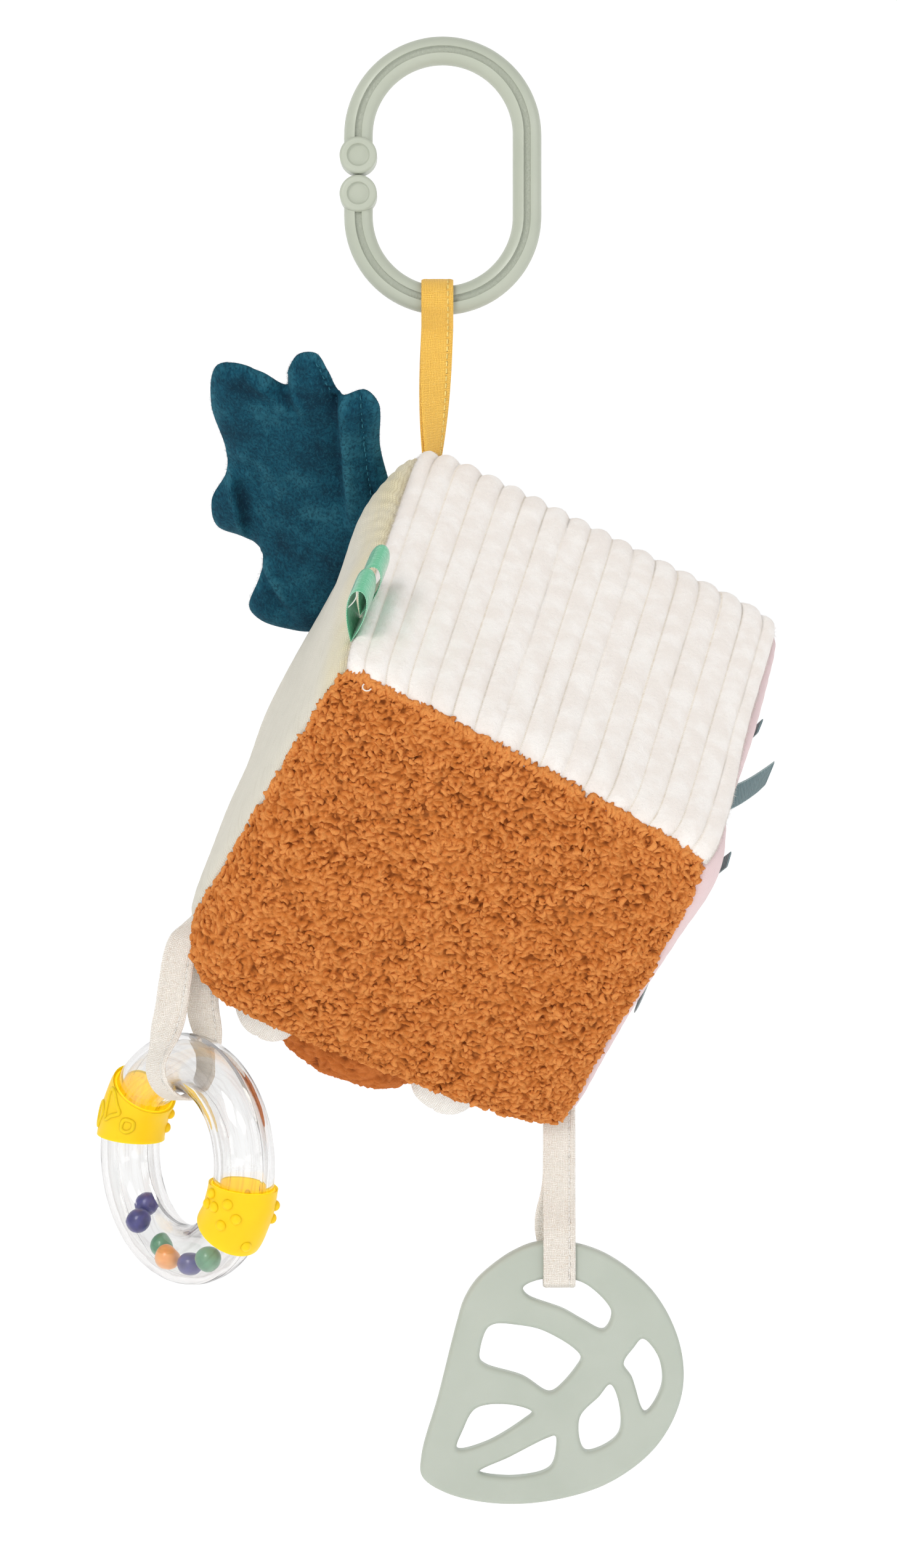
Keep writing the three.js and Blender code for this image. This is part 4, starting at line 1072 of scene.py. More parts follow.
def dome(a, b, size, rows=28, columns=56):
    """The lower part of an ellipsoid on the bottom, with its normals and its own UVs."""
    length, width, height = size
    foot = block_point([a, b, -1])
    top = 0.45
    angle, round_ = np.meshgrid(
        np.linspace(-math.pi / 2, top, rows), np.linspace(0, TURN, columns, endpoint=False), indexing="ij")
    way = np.stack([np.cos(angle) * np.cos(round_), np.cos(angle) * np.sin(round_), np.sin(angle)], -1)
    sizes = np.array([length / 2, width / 2, height])
    normal = unit(way / sizes)
    uv = np.stack([way[..., 0] * length / 2, way[..., 1] * width / 2 + way[..., 2] * height], -1)
    return foot + way * sizes, normal, uv


def foot_pad(name, a, b, node, seed):
    """A stuffed pad with a seam down its middle."""
    points, normal, uv = dome(a, b, PAD_SIZE)
    seam = points[..., 0] - points[..., 0].mean()
    points = points + normal * (0.9 * uneven(points, 6, seed) - 0.5 * bell(seam, 0.6))[..., None]
    piece = make(name, in_room(points), quads(*points.shape[:2], closed_columns=True), PAD, uv)
    dressed(piece, "block", "strap_linen", node)


foot_pad("left_foot", -0.46, -0.84, "left_foot_pad", 31)
foot_pad("right_foot", 0.4, -0.84, "right_foot_pad", 32)


def belly():
    """The stuffed belly, with ridges of short curls and loose hairs."""
    hair_count = 1500
    points, normal, _ = dome(-0.08, -0.74, BELLY_SIZE, 110, 220)
    bent = points + 1.6 * shaken(points, 2.6, 34)
    ridges = 1 - np.abs(2 * uneven(bent, 2.4, 38)) + 0.6 * uneven(bent, 1.1, 39)
    points = points + normal * (2.2 * uneven(points, 11, 33) + 1.6 * ridges - 1.4)[..., None]
    rng = np.random.default_rng(41)
    ground, out = points.reshape(-1, 3), normal.reshape(-1, 3)
    picked = rng.integers(0, len(ground), hair_count)
    ways = out[picked] + rng.normal(0, 1, (hair_count, 3))
    hairs, strands = fibres(ground[picked] - out[picked] * 0.1, ways, 0.9, 0.055, 42)
    everything, corners = joined((ground, quads(*points.shape[:2], closed_columns=True)), (hairs, strands))
    # Ridge heights as levels, for painted shade in the troughs between the ridges.
    level = np.concatenate([ridges.ravel(), np.repeat(ridges.ravel()[picked], STRAND_POINTS)])
    piece = make("belly_curls", in_room(everything), corners, SHORN, values={"level": level})
    dressed(piece, "block", "brown_curls", "curl_belly")


belly()


# Tapes and ribbons


def tape(path, across, width, thickness, columns, ridge=0.0, ridge_place=0.82):
    """A flat band along a path, its long edges rounded, and a ridge along each where asked for."""
    path, across = np.asarray(path, float), np.broadcast_to(np.asarray(across, float), np.shape(path))
    forward = unit(np.gradient(path, axis=0))
    across = unit(across - np.sum(across * forward, -1, keepdims=True) * forward)
    thick = np.cross(forward, across)
    w = np.sin(np.linspace(-math.pi / 2, math.pi / 2, columns))
    half = np.maximum(thickness / 2 * (1 - np.abs(w) ** 8) ** 0.5, thickness * 0.12)
    half = half + ridge * bell(np.abs(w) - ridge_place, 0.09)
    half = half - 0.5 * ridge * bell(np.abs(w) - ridge_place + 0.2, 0.07)
    length = np.concatenate([[0], np.cumsum(np.linalg.norm(np.diff(path, axis=0), axis=-1))])
    rings, uvs = [], []
    for sign in (1, -1):
        order = slice(None, None, sign)
        offset = across[:, None] * (w[order] * width / 2)[None, :, None]
        rings.append(path[:, None] + offset + thick[:, None] * (sign * half[order])[None, :, None])
        uvs.append(np.stack(np.broadcast_arrays(w[order][None, :] * width / 2, length[:, None]), -1))
    points, uv = np.concatenate(rings, 1), np.concatenate(uvs, 1)
    rows, round_ = points.shape[:2]
    faces = [quads(rows, round_, closed_columns=True)]
    for row in (0, rows - 1):
        j = np.arange(columns - 1)
        base = row * round_
        cap = np.stack([base + j, base + j + 1, base + round_ - 2 - j, base + round_ - 1 - j], -1)
        faces.append(cap if row else cap[:, ::-1])
    return points.reshape(-1, 3), np.concatenate(faces), uv.reshape(-1, 2)


TAG_WIDTH, TAG_HEIGHT, TAG_SWELL = 12, 19, 3.8125


def tag_path(start, lean_deg):
    """The middle of a ribbon loop on the white seam, start mm from its front end, and its side way."""
    lean = math.radians(lean_deg)
    rise = np.array([-math.sin(lean), 0, math.cos(lean)])
    side = np.array([math.cos(lean), 0, math.sin(lean)])
    t = np.linspace(0.14, TURN - 0.14, 64)
    level = (1 - np.cos(t)) / 2
    foot = block_point([-1, 2 * (start + TAG_WIDTH / 2) / EDGE - 1, 1])
    path = foot + rise * (TAG_HEIGHT * level)[:, None] * 0.985
    path = path + side * (TAG_SWELL * np.sin(t) * level**0.55)[:, None]
    path[:, 1] += 0.5 * uneven(path, 6, start)
    return path, side


def tag_thread(path, side):
    """The white seam thread inside a tag's loop."""
    low, high = path[46], path[34]
    t = np.linspace(0, 1, 20)[:, None]
    inside = low + (high - low) * t + 0.9 * side * np.sin(math.pi * t) + [0, 1.2 - TAG_WIDTH / 2, 0]
    points, faces, uv = tape(inside, [0, 1, 0], 0.4, 0.34, 5)
    dressed(make("tag_seam_thread", in_room(points), faces, THREAD, uv), "block", "green_satin")


def satin_tag(name, path, node):
    points, faces, uv = tape(path, [0, 1, 0], TAG_WIDTH, 0.55, 15)
    dressed(make(name, in_room(points), faces, SATIN, uv), "block", "green_satin", node)


front_path, front_side = tag_path(13.5, 15)
rear_path, _ = tag_path(27, 9)
tag_thread(front_path, front_side)
satin_tag("front_tag", front_path, "front_satin_tag")
satin_tag("rear_tag", rear_path, "rear_satin_tag")


def ribbon_end(number, root, tip, turn_deg):
    """A loose ribbon end from a root on the pink side to a tip on the unit cube, cut slanting."""
    start = block_point([1, *root])
    end = np.array(tip) * HALF
    middle = (start + end) / 2
    middle[1] = start[1] + (end[1] - start[1]) * 0.3
    t = np.linspace(-0.06, 1, 26)[:, None]
    path = (1 - t) ** 2 * start + 2 * t * (1 - t) * middle + t**2 * end
    turn = math.radians(turn_deg)
    width, slant = 8, 1.6
    points, faces, uv = tape(path, [0, math.cos(turn), math.sin(turn)], width, 0.6, 11)
    cut = np.clip(uv[:, 1] / uv[:, 1].max() - 0.75, 0, 1) * 4
    points = points + unit(end - start) * (cut * uv[:, 0] / (width / 2) * slant)[:, None]
    piece = make(f"side_ribbon_{number}", in_room(points), faces, GROSGRAIN, uv)
    dressed(piece, "block", "teal_grosgrain", f"pink_side_ribbon_{number}")


ribbon_end(1, (0.42, 0.55), (1.14, 0.49, 0.74), -14)
ribbon_end(2, (-0.05, 0.6), (1.27, 0.25, 0.67), 52)
ribbon_end(3, (-0.45, 0.35), (1.2, -0.43, 0.58), -5)
ribbon_end(4, (-0.64, 0.02), (1.27, -0.15, -0.78), 11)


def hanging_ribbon():
    """The yellow ribbon: round the ring's lowest stretch, down in two runs, and turned by 60 degrees."""
    tube, room, thickness, drop, ring_bottom = 4.5, 1.3, 1.0, 44.5, -78.2
    low = ring_bottom + tube
    radius = tube + room + thickness / 2
    past = math.radians(24)
    round_ = np.linspace(math.pi + past, -past, 33)
    loop = np.stack([radius * np.cos(round_), radius * np.sin(round_)], -1)
    down = np.linspace(-9.0, -(drop + tube - 0.6), 28)
    front = np.stack([np.full(28, -thickness * 0.53), down], -1)
    neck = np.linspace(0, 1, 7)[1:-1, None]
    enter = lambda a, b: a * (1 - neck) + b * neck
    back = front * [-1, 1]
    profile = np.concatenate([front[::-1], enter(front[0], loop[0]), loop, enter(loop[-1], back[0]), back])
    share = np.clip((-profile[:, 1] - 8) / (drop + tube - 8), 0, 1)
    turn = math.radians(60) * share**1.3
    middle = np.stack([-1.7 - 1.7 * share, 0 * share, low + profile[:, 1]], -1)
    across = np.stack([np.cos(turn), np.sin(turn), 0 * turn], -1)
    thick = np.stack([-np.sin(turn), np.cos(turn), 0 * turn], -1)
    path = middle + thick * profile[:, :1]
    width, cloth, ridge = 10, 0.92, 0.08
    points, faces, uv = tape(path, across, width, cloth, 17, ridge, 0.78)
    dressed(make("yellow_ribbon", points, faces, YELLOW, uv), "ribbon", "yellow_linen", "hanging_ribbon")


hanging_ribbon()

STRAP_WIDTH, STRAP_THICK, STRAP_RIDGE = 10, 1.05, 0.14
# How far a strap's middle lies from its bar: the gap between them and half the strap's thickness
BAR_GAP = 0.4 + 0.65


def strap(name, bar, root, outward, along, profile, node, body, turns=((0.1, 0), (1.0, 1)), sway=0.0):
    """A tape down round a bar and up again. Turns says how far it faces the viewer, by height,
    and sway how far its rear run stands aside."""
    bar, root, outward, along = (np.asarray(v, float) for v in (bar, root, outward, along))
    profile = smoothed(profile, 5, False)
    rise = root[2] - bar[2]
    twist = eased(np.interp(profile[:, 1] / rise, *zip(*turns)))[:, None]
    share = np.clip(profile[:, 1:] / rise, 0, 1.15) ** 1.2
    lean = root - bar
    lean[2] = 0
    path = bar + outward * profile[:, :1] + lean * share + np.array([0, 0, 1]) * profile[:, 1:]
    top_across = np.array([math.copysign(1, along[0]), 0, 0])
    across = unit(along * (1 - twist) + top_across * twist)
    rear = np.arange(len(profile)) > len(profile) / 2
    low_part = bell(profile[:, 1] / rise - 0.25, 0.2) * rear
    path = path - top_across * (sway * low_part)[:, None]
    points, faces, uv = tape(path, across, STRAP_WIDTH, STRAP_THICK, 19, STRAP_RIDGE)
    dressed(make(name, points, faces, TAPE, uv), body, "strap_linen", node)


# Bead ring

RING_PLACE = np.array([-79.3813, -15.2579, -341.0756])
RING_AXIS = np.array([-0.7659, -0.6428, -0.0134])
RING_SIDE = np.array([0.6427, -0.766, 0.0112])
RING_UP = np.array([-0.0175, 0, 0.9998])
RING = 29.7
TUBE = 9.3
WALL = 2.1


def ring_point(angle, radial, axial):
    """A place in the room, from its angle round the ring and its place in the tube's section."""
    angle, radial, axial = np.broadcast_arrays(angle, radial, axial)
    spoke = np.cos(angle)[..., None] * RING_SIDE + np.sin(angle)[..., None] * RING_UP
    return RING_PLACE + spoke * (RING + radial)[..., None] + RING_AXIS * axial[..., None]


def ring_half(name, sign, node):
    """One half shell of the clear tube, cut a hair's breadth from the ring's middle plane."""
    gap = 0.05

    def arc(radius, count):
        edge = math.asin(gap / radius)
        t = np.linspace(edge, math.pi - edge, count)
        return np.stack([radius * np.cos(t), sign * radius * np.sin(t)], -1)

    section = np.concatenate([arc(TUBE, 40), arc(TUBE - WALL, 32)[::-1]])
    angle = np.linspace(0, TURN, 160, endpoint=False)[:, None]
    points = ring_point(angle, section[None, :, 0], section[None, :, 1])
    round_ = np.arctan2(section[:, 1], section[:, 0]) * np.hypot(*section.T)
    uv = np.stack(np.broadcast_arrays(round_[None, :], angle * RING), -1)
    faces = quads(*points.shape[:2], True, True)
    faces = faces if sign > 0 else faces[:, ::-1]
    dressed(make(name, points, faces, CLEAR, uv, sharp=50), "rattle", "clear_plastic", node)


ring_half("clear_front_half", 1, "rattle_front_half")
ring_half("clear_rear_half", -1, "rattle_rear_half")


SLEEVE_OUT = 1.4
DOT_RADIUS, DOT_RISE = 1.7, 1.5
OUTLINE_RADIUS = 0.75


def small_dome(angle, across):
    """A round bump on a sleeve, at an angle round the ring and one round its tube."""
    out = TUBE + SLEEVE_OUT - 0.1
    at = ring_point(angle, out * math.cos(across), out * math.sin(across))
    spoke = math.cos(angle) * RING_SIDE + math.sin(angle) * RING_UP
    normal = spoke * math.cos(across) + RING_AXIS * math.sin(across)
    side = unit(np.cross(normal, [0.3, 0.2, 0.9]))
    points, faces = ball(3)
    basis = np.stack([side * DOT_RADIUS, np.cross(normal, side) * DOT_RADIUS, normal * DOT_RISE])
    return at + points @ basis, faces


def raised_line(places):
    """A raised outline on a sleeve: a round bead of silicone along (angle, across) places."""
    out = TUBE + SLEEVE_OUT - 0.2
    angle, across = smoothed(np.radians(places), 8, True).T
    path = ring_point(angle, out * np.cos(across), out * np.sin(across))
    ahead = unit(np.roll(path, -1, 0) - np.roll(path, 1, 0))
    spoke = np.cos(angle)[:, None] * RING_SIDE + np.sin(angle)[:, None] * RING_UP
    normal = spoke * np.cos(across)[:, None] + RING_AXIS * np.sin(across)[:, None]
    side = np.cross(ahead, normal)
    t = np.linspace(0, TURN, 8, endpoint=False)[None, :, None]
    points = path[:, None] + OUTLINE_RADIUS * (side[:, None] * np.cos(t) + normal[:, None] * np.sin(t))
    return points, quads(len(path), 8, True, True)


def sleeve(name, span, extras, node):
    """A silicone sleeve over a stretch of the ring, with rounded lips and its raised dots and outlines."""
    low, high = (math.radians(a) * RING for a in span)
    inner, outer = TUBE + 0.2, TUBE + SLEEVE_OUT
    lip = 0.55
    t = np.linspace(0, math.pi / 2, 5)
    ahead, inwards = lip * (1 - np.sin(t)), lip * (1 - np.cos(t))
    middle = np.linspace(low + lip, high - lip, 26)[1:-1]
    length = np.concatenate([low + ahead, middle, high - ahead[::-1], [high, (high + low) / 2, low]])
    radius = np.concatenate([outer - inwards[::-1], np.full(24, outer), outer - inwards, [inner] * 3])
    bulge = np.ones(len(radius))
    bulge[5:-8] += 0.006 * np.cos(np.linspace(0, 3 * math.pi, len(radius) - 13))  # faint waves
    across = np.linspace(0, TURN, 64, endpoint=False)[None, :]
    radial = (radius * bulge)[:, None]
    points = ring_point(length[:, None] / RING, radial * np.cos(across), radial * np.sin(across))
    everything, faces = joined((points, quads(*points.shape[:2], True, True)), *extras)
    # The inner wall's points get a painted glow, standing in for light that comes through the silicone.
    painted_light = np.zeros(len(everything))
    painted_light[:points.shape[0] * points.shape[1]] = np.repeat(radius < inner + 0.1, points.shape[1])
    piece = make(name, everything, faces, SILICONE, values={"painted_light": painted_light}, sharp=60)
    dressed(piece, "rattle", "yellow_silicone", node)


# Places on the sleeves: degrees round the ring, and degrees round its tube
LOWER_DOTS = (
    (-17, 98), (-25, 104), (-23.5, 84), (-19, 60), (-31, 62), (-25, 41), (-28, -52), (-21, -52),
    (-36, -110), (-24, -128), (-38, 8), (-19, -90),
)
UPPER_DOTS = ((146, -134), (159, -133), (152, -110), (162, -95))
LEAFLET = ((158, 124), (160, 134), (156, 143), (151, 142), (149.5, 132), (152, 124))
OVAL = ((164.5, 63), (161, 69), (155, 76), (152, 70), (151.5, 57), (154.5, 51), (161, 57))
STAR = ((139.5, 76), (147.8, 81), (157, 88), (153.2, 99), (147.5, 113), (142.6, 102), (138, 88))
lower_relief = [small_dome(*np.radians(place)) for place in LOWER_DOTS]
upper_relief = [small_dome(*np.radians(place)) for place in UPPER_DOTS]
upper_relief += [raised_line(places) for places in (LEAFLET, OVAL, STAR)]
sleeve("yellow_sleeve_low", (-44, -12.5), lower_relief, "lower_sleeve")
sleeve("yellow_sleeve_high", (136, 169.5), upper_relief, "upper_sleeve")

BEAD_RADIUS = 3.9
BEAD_OFFSET = 2.8
# A bead's angle round the ring, how far it lies aside of the ring's plane, and its colour
BEAD_PLACES = (
    (-146.5, -2.8, "purple_bead"), (-135.5, 2.8, "purple_bead"), (-116.5, -1.68, "green_bead"),
    (-102.3, 1.96, "orange_bead"), (-87.5, -0.56, "purple_bead"), (-66.5, 1.26, "green_bead"),
    (-53, -2.8, "orange_bead"),
)


def beads():
    """Seven beads on the wall of the ring's channel, each with the faint belt of its mould."""
    shape, faces = ball(4)
    belt = 0.02 * bell(shape[:, 2:], 0.05)
    for number, (angle, aside, kind) in enumerate(BEAD_PLACES, 1):
        centre = ring_point(math.radians(angle), math.sqrt(BEAD_OFFSET**2 - aside**2), aside)
        bead = make(f"round_bead_{number}", centre + shape * BEAD_RADIUS * (1 + belt), faces, BEADS[kind])
        dressed(bead, "beads", kind, f"bead_{number}")


beads()


def bead_ring_strap():
    lean = math.radians(2)
    bar = RING_PLACE + RING * (math.cos(lean) * RING_UP - math.sin(lean) * RING_SIDE)
    along = math.cos(lean) * RING_SIDE + math.sin(lean) * RING_UP
    reach = TUBE + BAR_GAP
    front_run = [
        [0, 45], [-2.5, 42], [-5.2, 38.5], [-6.4, 34], [-6.7, 25], [-6.8, 16], [-8.4, 7], [-reach, 0]]
    rear_run = [[reach, 1], [8.8, 8], [5.4, 17], [3.2, 30], [1.5, 40], [0.5, 45]]
    under = [[reach * math.cos(t), reach * math.sin(t) - 0.8] for t in np.linspace(math.pi, TURN, 13)[1:-1]]
    strap(
        "bead_ring_strap", bar, (-74.8, -17.2639, -269.2098), -RING_AXIS, along, front_run + under + rear_run,
        "rattle_strap", "rattle_tape", ((0.0, 0), (0.4, 1), (0.75, 1), (1.05, 0.3)))


bead_ring_strap()


# Teether

TEETHER_PLACE = np.array([33.9063, -6.6353, -408.2697])
TEETHER_WIDTH = 82.2
TEETHER_THICK = 7
TEETHER_ROUND = 1.6
TEETHER_OUTLINE = (
    (-0.054, 0.493), (-0.143, 0.46), (-0.224, 0.406), (-0.287, 0.348), (-0.332, 0.276), (-0.36, 0.186),
    (-0.43, -0.091), (-0.493, -0.315), (-0.491, -0.392), (-0.403, -0.454), (-0.215, -0.495), (0, -0.484),
    (0.224, -0.414), (0.403, -0.271), (0.493, -0.082), (0.486, 0.106), (0.394, 0.294), (0.233, 0.433),
    (0.09, 0.488),
)
TEETHER_HOLES = (
    ((-0.108, 0.321), (-0.054, 0.35), (0.085, 0.352), (0.161, 0.312), (0.227, 0.227), (0.197, 0.164),
     (0.116, 0.2), (0.045, 0.24), (-0.094, 0.294)),
    ((-0.215, 0.184), (-0.143, 0.182), (-0.027, 0.157), (0.11, 0.061), (0.09, 0.016), (0.009, -0.069),
     (-0.018, -0.072), (-0.108, -0.015), (-0.251, 0.03), (-0.272, 0.052), (-0.246, 0.164)),
    ((-0.287, -0.136), (-0.161, -0.121), (-0.074, -0.15), (-0.108, -0.181), (-0.251, -0.266),
     (-0.358, -0.289), (-0.336, -0.217)),
    ((0.013, -0.24), (0.018, -0.28), (-0.007, -0.36), (-0.143, -0.394), (-0.275, -0.376), (-0.161, -0.32),
     (-0.018, -0.248)),
    ((0.222, -0.045), (0.255, -0.118), (0.254, -0.23), (0.179, -0.287), (0.124, -0.293), (0.106, -0.172),
     (0.179, -0.091)),
    ((0.345, 0.128), (0.403, 0.061), (0.417, -0.047), (0.354, -0.15), (0.305, -0.02), (0.273, 0.034),
     (0.309, 0.092)),
)


def teether():
    """A flat plate with rounded edges, made from its outline and holes."""
    data = bpy.data.curves.new("teether_outline", "CURVE")
    data.dimensions = "2D"
    data.fill_mode = "BOTH"
    data.extrude = (TEETHER_THICK / 2 - TEETHER_ROUND) * MM
    data.bevel_depth = TEETHER_ROUND * MM
    data.bevel_resolution = 5
    data.offset = -TEETHER_ROUND * MM
    for outline in (TEETHER_OUTLINE, *TEETHER_HOLES):
        points = smoothed(np.array(outline) * TEETHER_WIDTH, 9, True) * MM
        line = data.splines.new("POLY")
        line.points.add(len(points) - 1)
        line.points.foreach_set("co", np.insert(points, [2, 2], [0, 1], axis=1).ravel())
        line.use_cyclic_u = True
    shape = bpy.data.objects.new("teether_outline", data)
    scene.collection.objects.link(shape)
    ready = shape.evaluated_get(bpy.context.evaluated_depsgraph_get())
    mesh = bpy.data.meshes.new_from_object(ready)
    bpy.data.objects.remove(shape)
    points = np.array([v.co for v in mesh.vertices])
    points = np.stack([points[:, 0], -points[:, 2], points[:, 1]], -1) + TEETHER_PLACE * MM
    mesh.vertices.foreach_set("co", points.astype(np.float32).ravel())
    mesh.update()
    mesh.polygons.foreach_set("use_smooth", np.ones(len(mesh.polygons), bool))
    mesh.materials.clear()
    mesh.materials.append(SAGE_SILICONE)
    piece = bpy.data.objects.new("leaf_teether", mesh)
    scene.collection.objects.link(piece)
    piece.modifiers.new("even", "WEIGHTED_NORMAL").keep_sharp = True
    dressed(piece, "teether_plate", "sage_silicone", "teether")


teether()


def teether_tape():
    bar, bar_height = np.array([36.2901, -6.6353, -373.5402]), 11.59
    out = TEETHER_THICK / 2 + BAR_GAP
    fold = TEETHER_ROUND + 0.65
    low = -bar_height / 2 - 1.5 - 0.65
    high = bar_height / 2 + out
    down = [
        [-0.75, 49], [-0.75, 43.2], [-0.75, 30], [-1.0, high + out + 4], [-out + 0.4, high], [-out, 2.0],
        [-out, low + fold + 1]]
    up = [[-a, b] for a, b in down[::-1]]
    angles = np.linspace(math.pi, TURN, 11)[1:-1]
    under = [[out * math.cos(t), low + fold * (1 + math.sin(t))] for t in angles]
    strap(
        "teether_tape", bar, bar + [0, 0, 44.3], (0, 1, 0), (1, 0, 0), down + under + up, "teether_strap",
        "teether_tape", sway=2.6)


teether_tape()


# Link ring


def link_ring():
    """The C-shaped tube with its groove, and the two round heads with a dimple in each face."""
    tube, deep, width, height = 9, 8.5, 61.8, 87.2
    bend = (width - tube) / 2
    straight = height - width
    middle = np.array([0, 0, -(height / 2 - tube)])
    lip = math.asin(1.15 / (tube / 2))
    t = np.linspace(lip - math.pi / 2, math.pi / 2 - lip, 35)
    outer = np.stack([np.cos(t) * tube / 2, np.sin(t) * deep / 2], -1)
    groove = np.array([[1.08, deep / 2 - 0.22], [1.0, deep / 2 - 1.2], [0.8, deep / 2 - 1.3]])
    half = np.concatenate([outer, groove])
    section = np.concatenate([half, [[-1, 1]] * half[::-1][:3], [[-1, 1]] * outer[::-1]])
    section = np.concatenate([section, ([[-1, -1]] * groove), ([[1, -1]] * groove)[::-1]])
    radial, flat = section.T
    head_rise, tube_stop = 6.0, 9.75
    stops = [(math.pi, tube_stop)]
    stops += [(a, straight / 2) for a in np.linspace(math.pi, 0, 49)]
    stops += [(a, -straight / 2) for a in np.linspace(0, -math.pi, 49)]
    stops += [(-math.pi, -tube_stop)]
    angle, rise = (np.array(v)[:, None] for v in zip(*stops))
    reach = bend + radial
    ring = np.stack([np.cos(angle) * reach, flat + 0 * angle, rise + np.sin(angle) * reach], -1)
    parts = [(ring + middle, quads(len(stops), len(section), closed_columns=True))]
    rim, thick, hole, dip, soft = 5.85, 4.8, 3.4, 1.1, 1.2
    profile = [(r, thick - dip) for r in (1.0, 2.0, 2.8)]
    profile += [(hole - 0.3, thick - dip + 0.05), (hole, thick - dip + 0.3), (hole + 0.05, thick - 0.2)]
    profile += [(r, thick) for r in (hole + 0.25, 3.9, 4.3)]
    rounding = np.linspace(0.1, math.pi / 2, 9)
    profile += [(rim - soft + soft * math.sin(a), thick - soft + soft * math.cos(a)) for a in rounding]
    radius, level = np.array(profile + [(r, -y) for r, y in profile[::-1]]).T
    around = np.linspace(0, TURN, 56, endpoint=False)[:, None]
    for sign in (1, -1):
        head = np.stack([radius * np.cos(around), level + 0 * around, radius * np.sin(around)], -1)
        head = head + middle + [-bend, 0, sign * head_rise]
        parts.append((head, quads(*head.shape[:2], closed_rows=True)))
        for row in (0, -1):
            hub = np.concatenate([head[:, row], head[:, row].mean(0, keepdims=True)])
            i = np.arange(len(around))
            parts.append((hub, np.stack([i, (i + 1) % len(around), np.full(len(around), len(around))], -1)))
    points, faces = joined(*parts)
    # The groove's points get painted shade in the material.
    sunk = np.zeros(len(points))
    in_groove = (np.abs(radial) < 1.05) & (np.abs(flat) < deep / 2 - 1)
    sunk[:len(stops) * len(section)] = np.tile(in_groove, len(stops))
    piece = make("sage_link_ring", points, faces, SAGE_PLASTIC, values={"sunk": sunk}, sharp=40)
    weld(piece)
    dressed(piece, "link", "sage_plastic", "link_ring")


link_ring()


# Leaf

SEAM_DOWN = unit(block_point([-1, 1, -1]) - TOP)
LEAF_OUT = unit(np.array([-1, 0, 0]) + SEAM_DOWN * SEAM_DOWN[0])
LEAF_FACE = np.cross(LEAF_OUT, SEAM_DOWN)
LEAF_REACH = 70
LEAF_OUTLINE = (
    (0, 0.27), (0.165, 0.05), (0.265, -0.165), (0.35, -0.2), (0.44, -0.12), (0.535, -0.195), (0.62, -0.25),
    (0.69, -0.205), (0.7, -0.105), (0.675, -0.015), (0.8, -0.03), (0.94, 0), (1, 0.06), (0.94, 0.26),
    (0.79, 0.45), (0.74, 0.56), (0.74, 0.74), (0.66, 0.86), (0.515, 0.85), (0.41, 0.89), (0.375, 1.02),
    (0.35, 1.2),
    (0.27, 1.235), (0.1, 1.2), (0, 1.15),
)
# Folds: a line (out, down) from the top corner, how high it stands towards the viewer on its right
# and on its left, how far each side runs out, and how steep the step between them is
LEAF_FOLDS = (
    (((31.5, -9), (30.8, -5.4), (25.5, 4.8), (19.4, 17.1), (8.4, 37.8)), 4.0, -3.0, 6.5, 5.5, 0.8),
    (((49.5, 39), (42.5, 48.2), (37.4, 56.9), (34, 62)), -2.4, 2.6, 5.0, 3.0, 1.1),
    (((30.5, 62), (28.2, 66.4), (17.7, 73.4), (9.7, 78.7)), 2.8, -2.4, 3.0, 4.5, 1.0),
    (((49, -7), (46.5, -1), (36, 8.5)), 2.2, -2.4, 4.5, 3.5, 1.1),
    (((62, 2), (49, 5), (35.2, 12)), 1.6, -1.0, 5.0, 5.0, 2.2),
    (((52, 33), (46, 30), (38, 33), (34, 42)), 1.2, -1.2, 5.0, 5.0, 2.4),
)
LEAF_STITCHES = (
    ((43.5, -15.5), (41.8, -14.4), (35.9, -8.9), (30.5, -4)),
    ((26.5, -12.5), (24.9, -10.4), (12.6, 12.8), (6, 23)),
)


def to_stretch(points, a, b):
    """How far points lie from a straight stretch, at what share of it, and their way from it."""
    way = b - a
    share = np.clip((points - a) @ way / max(way @ way, 1e-9), 0, 1)
    off = points - a - share[:, None] * way
    return np.linalg.norm(off, axis=-1), share, off


def from_line(points, line):
    """How far points lie from a broken line, how far along it, on which side, and its length.
    The side is 1 outwards of the line's nearest stretch, and -1 across it."""
    line = np.array(line, float)
    best, where, side, run = np.full(len(points), 1e9), np.zeros(len(points)), np.ones(len(points)), 0
    for a, b in zip(line, line[1:]):
        away, share, off = to_stretch(points, a, b)
        length = np.linalg.norm(b - a)
        turned = (b - a)[0] * off[:, 1] - (b - a)[1] * off[:, 0]
        where = np.where(away < best, run + share * length, where)
        side = np.where(away < best, np.where(turned > 0, -1, 1), side)
        best = np.minimum(best, away)
        run += length
    return best, where, side, run


def on_leaf(flat, height):
    """Places of the leaf in the block's axes, from (out, down) and how high they stand."""
    return TOP + flat @ np.stack([LEAF_OUT, SEAM_DOWN]) + np.asarray(height)[:, None] * LEAF_FACE


def stitches(line, flat, top):
    """Short threads along a seam of the leaf, each sunk at both ends."""
    line = smoothed(line, 12, False)
    run = np.concatenate([[0], np.cumsum(np.linalg.norm(np.diff(line, axis=0), axis=-1))])
    first, period, length, left_free = 0.8, 2.3, 1.6, 2
    t = np.linspace(0, 1, 7)
    parts = []
    for mark in np.arange(first, run[-1] - left_free, period):
        at = np.stack([np.interp(mark + length * t, run, line[:, k]) for k in (0, 1)], -1)
        near = np.argmin(np.linalg.norm(flat - at[3], axis=-1))
        path = on_leaf(at, top[near] + 0.25 - 0.9 * (2 * t - 1) ** 4)
        parts.append(tape(path, np.cross(LEAF_FACE, path[-1] - path[0]), 0.36, 0.3, 5)[:2])
    return joined(*parts)


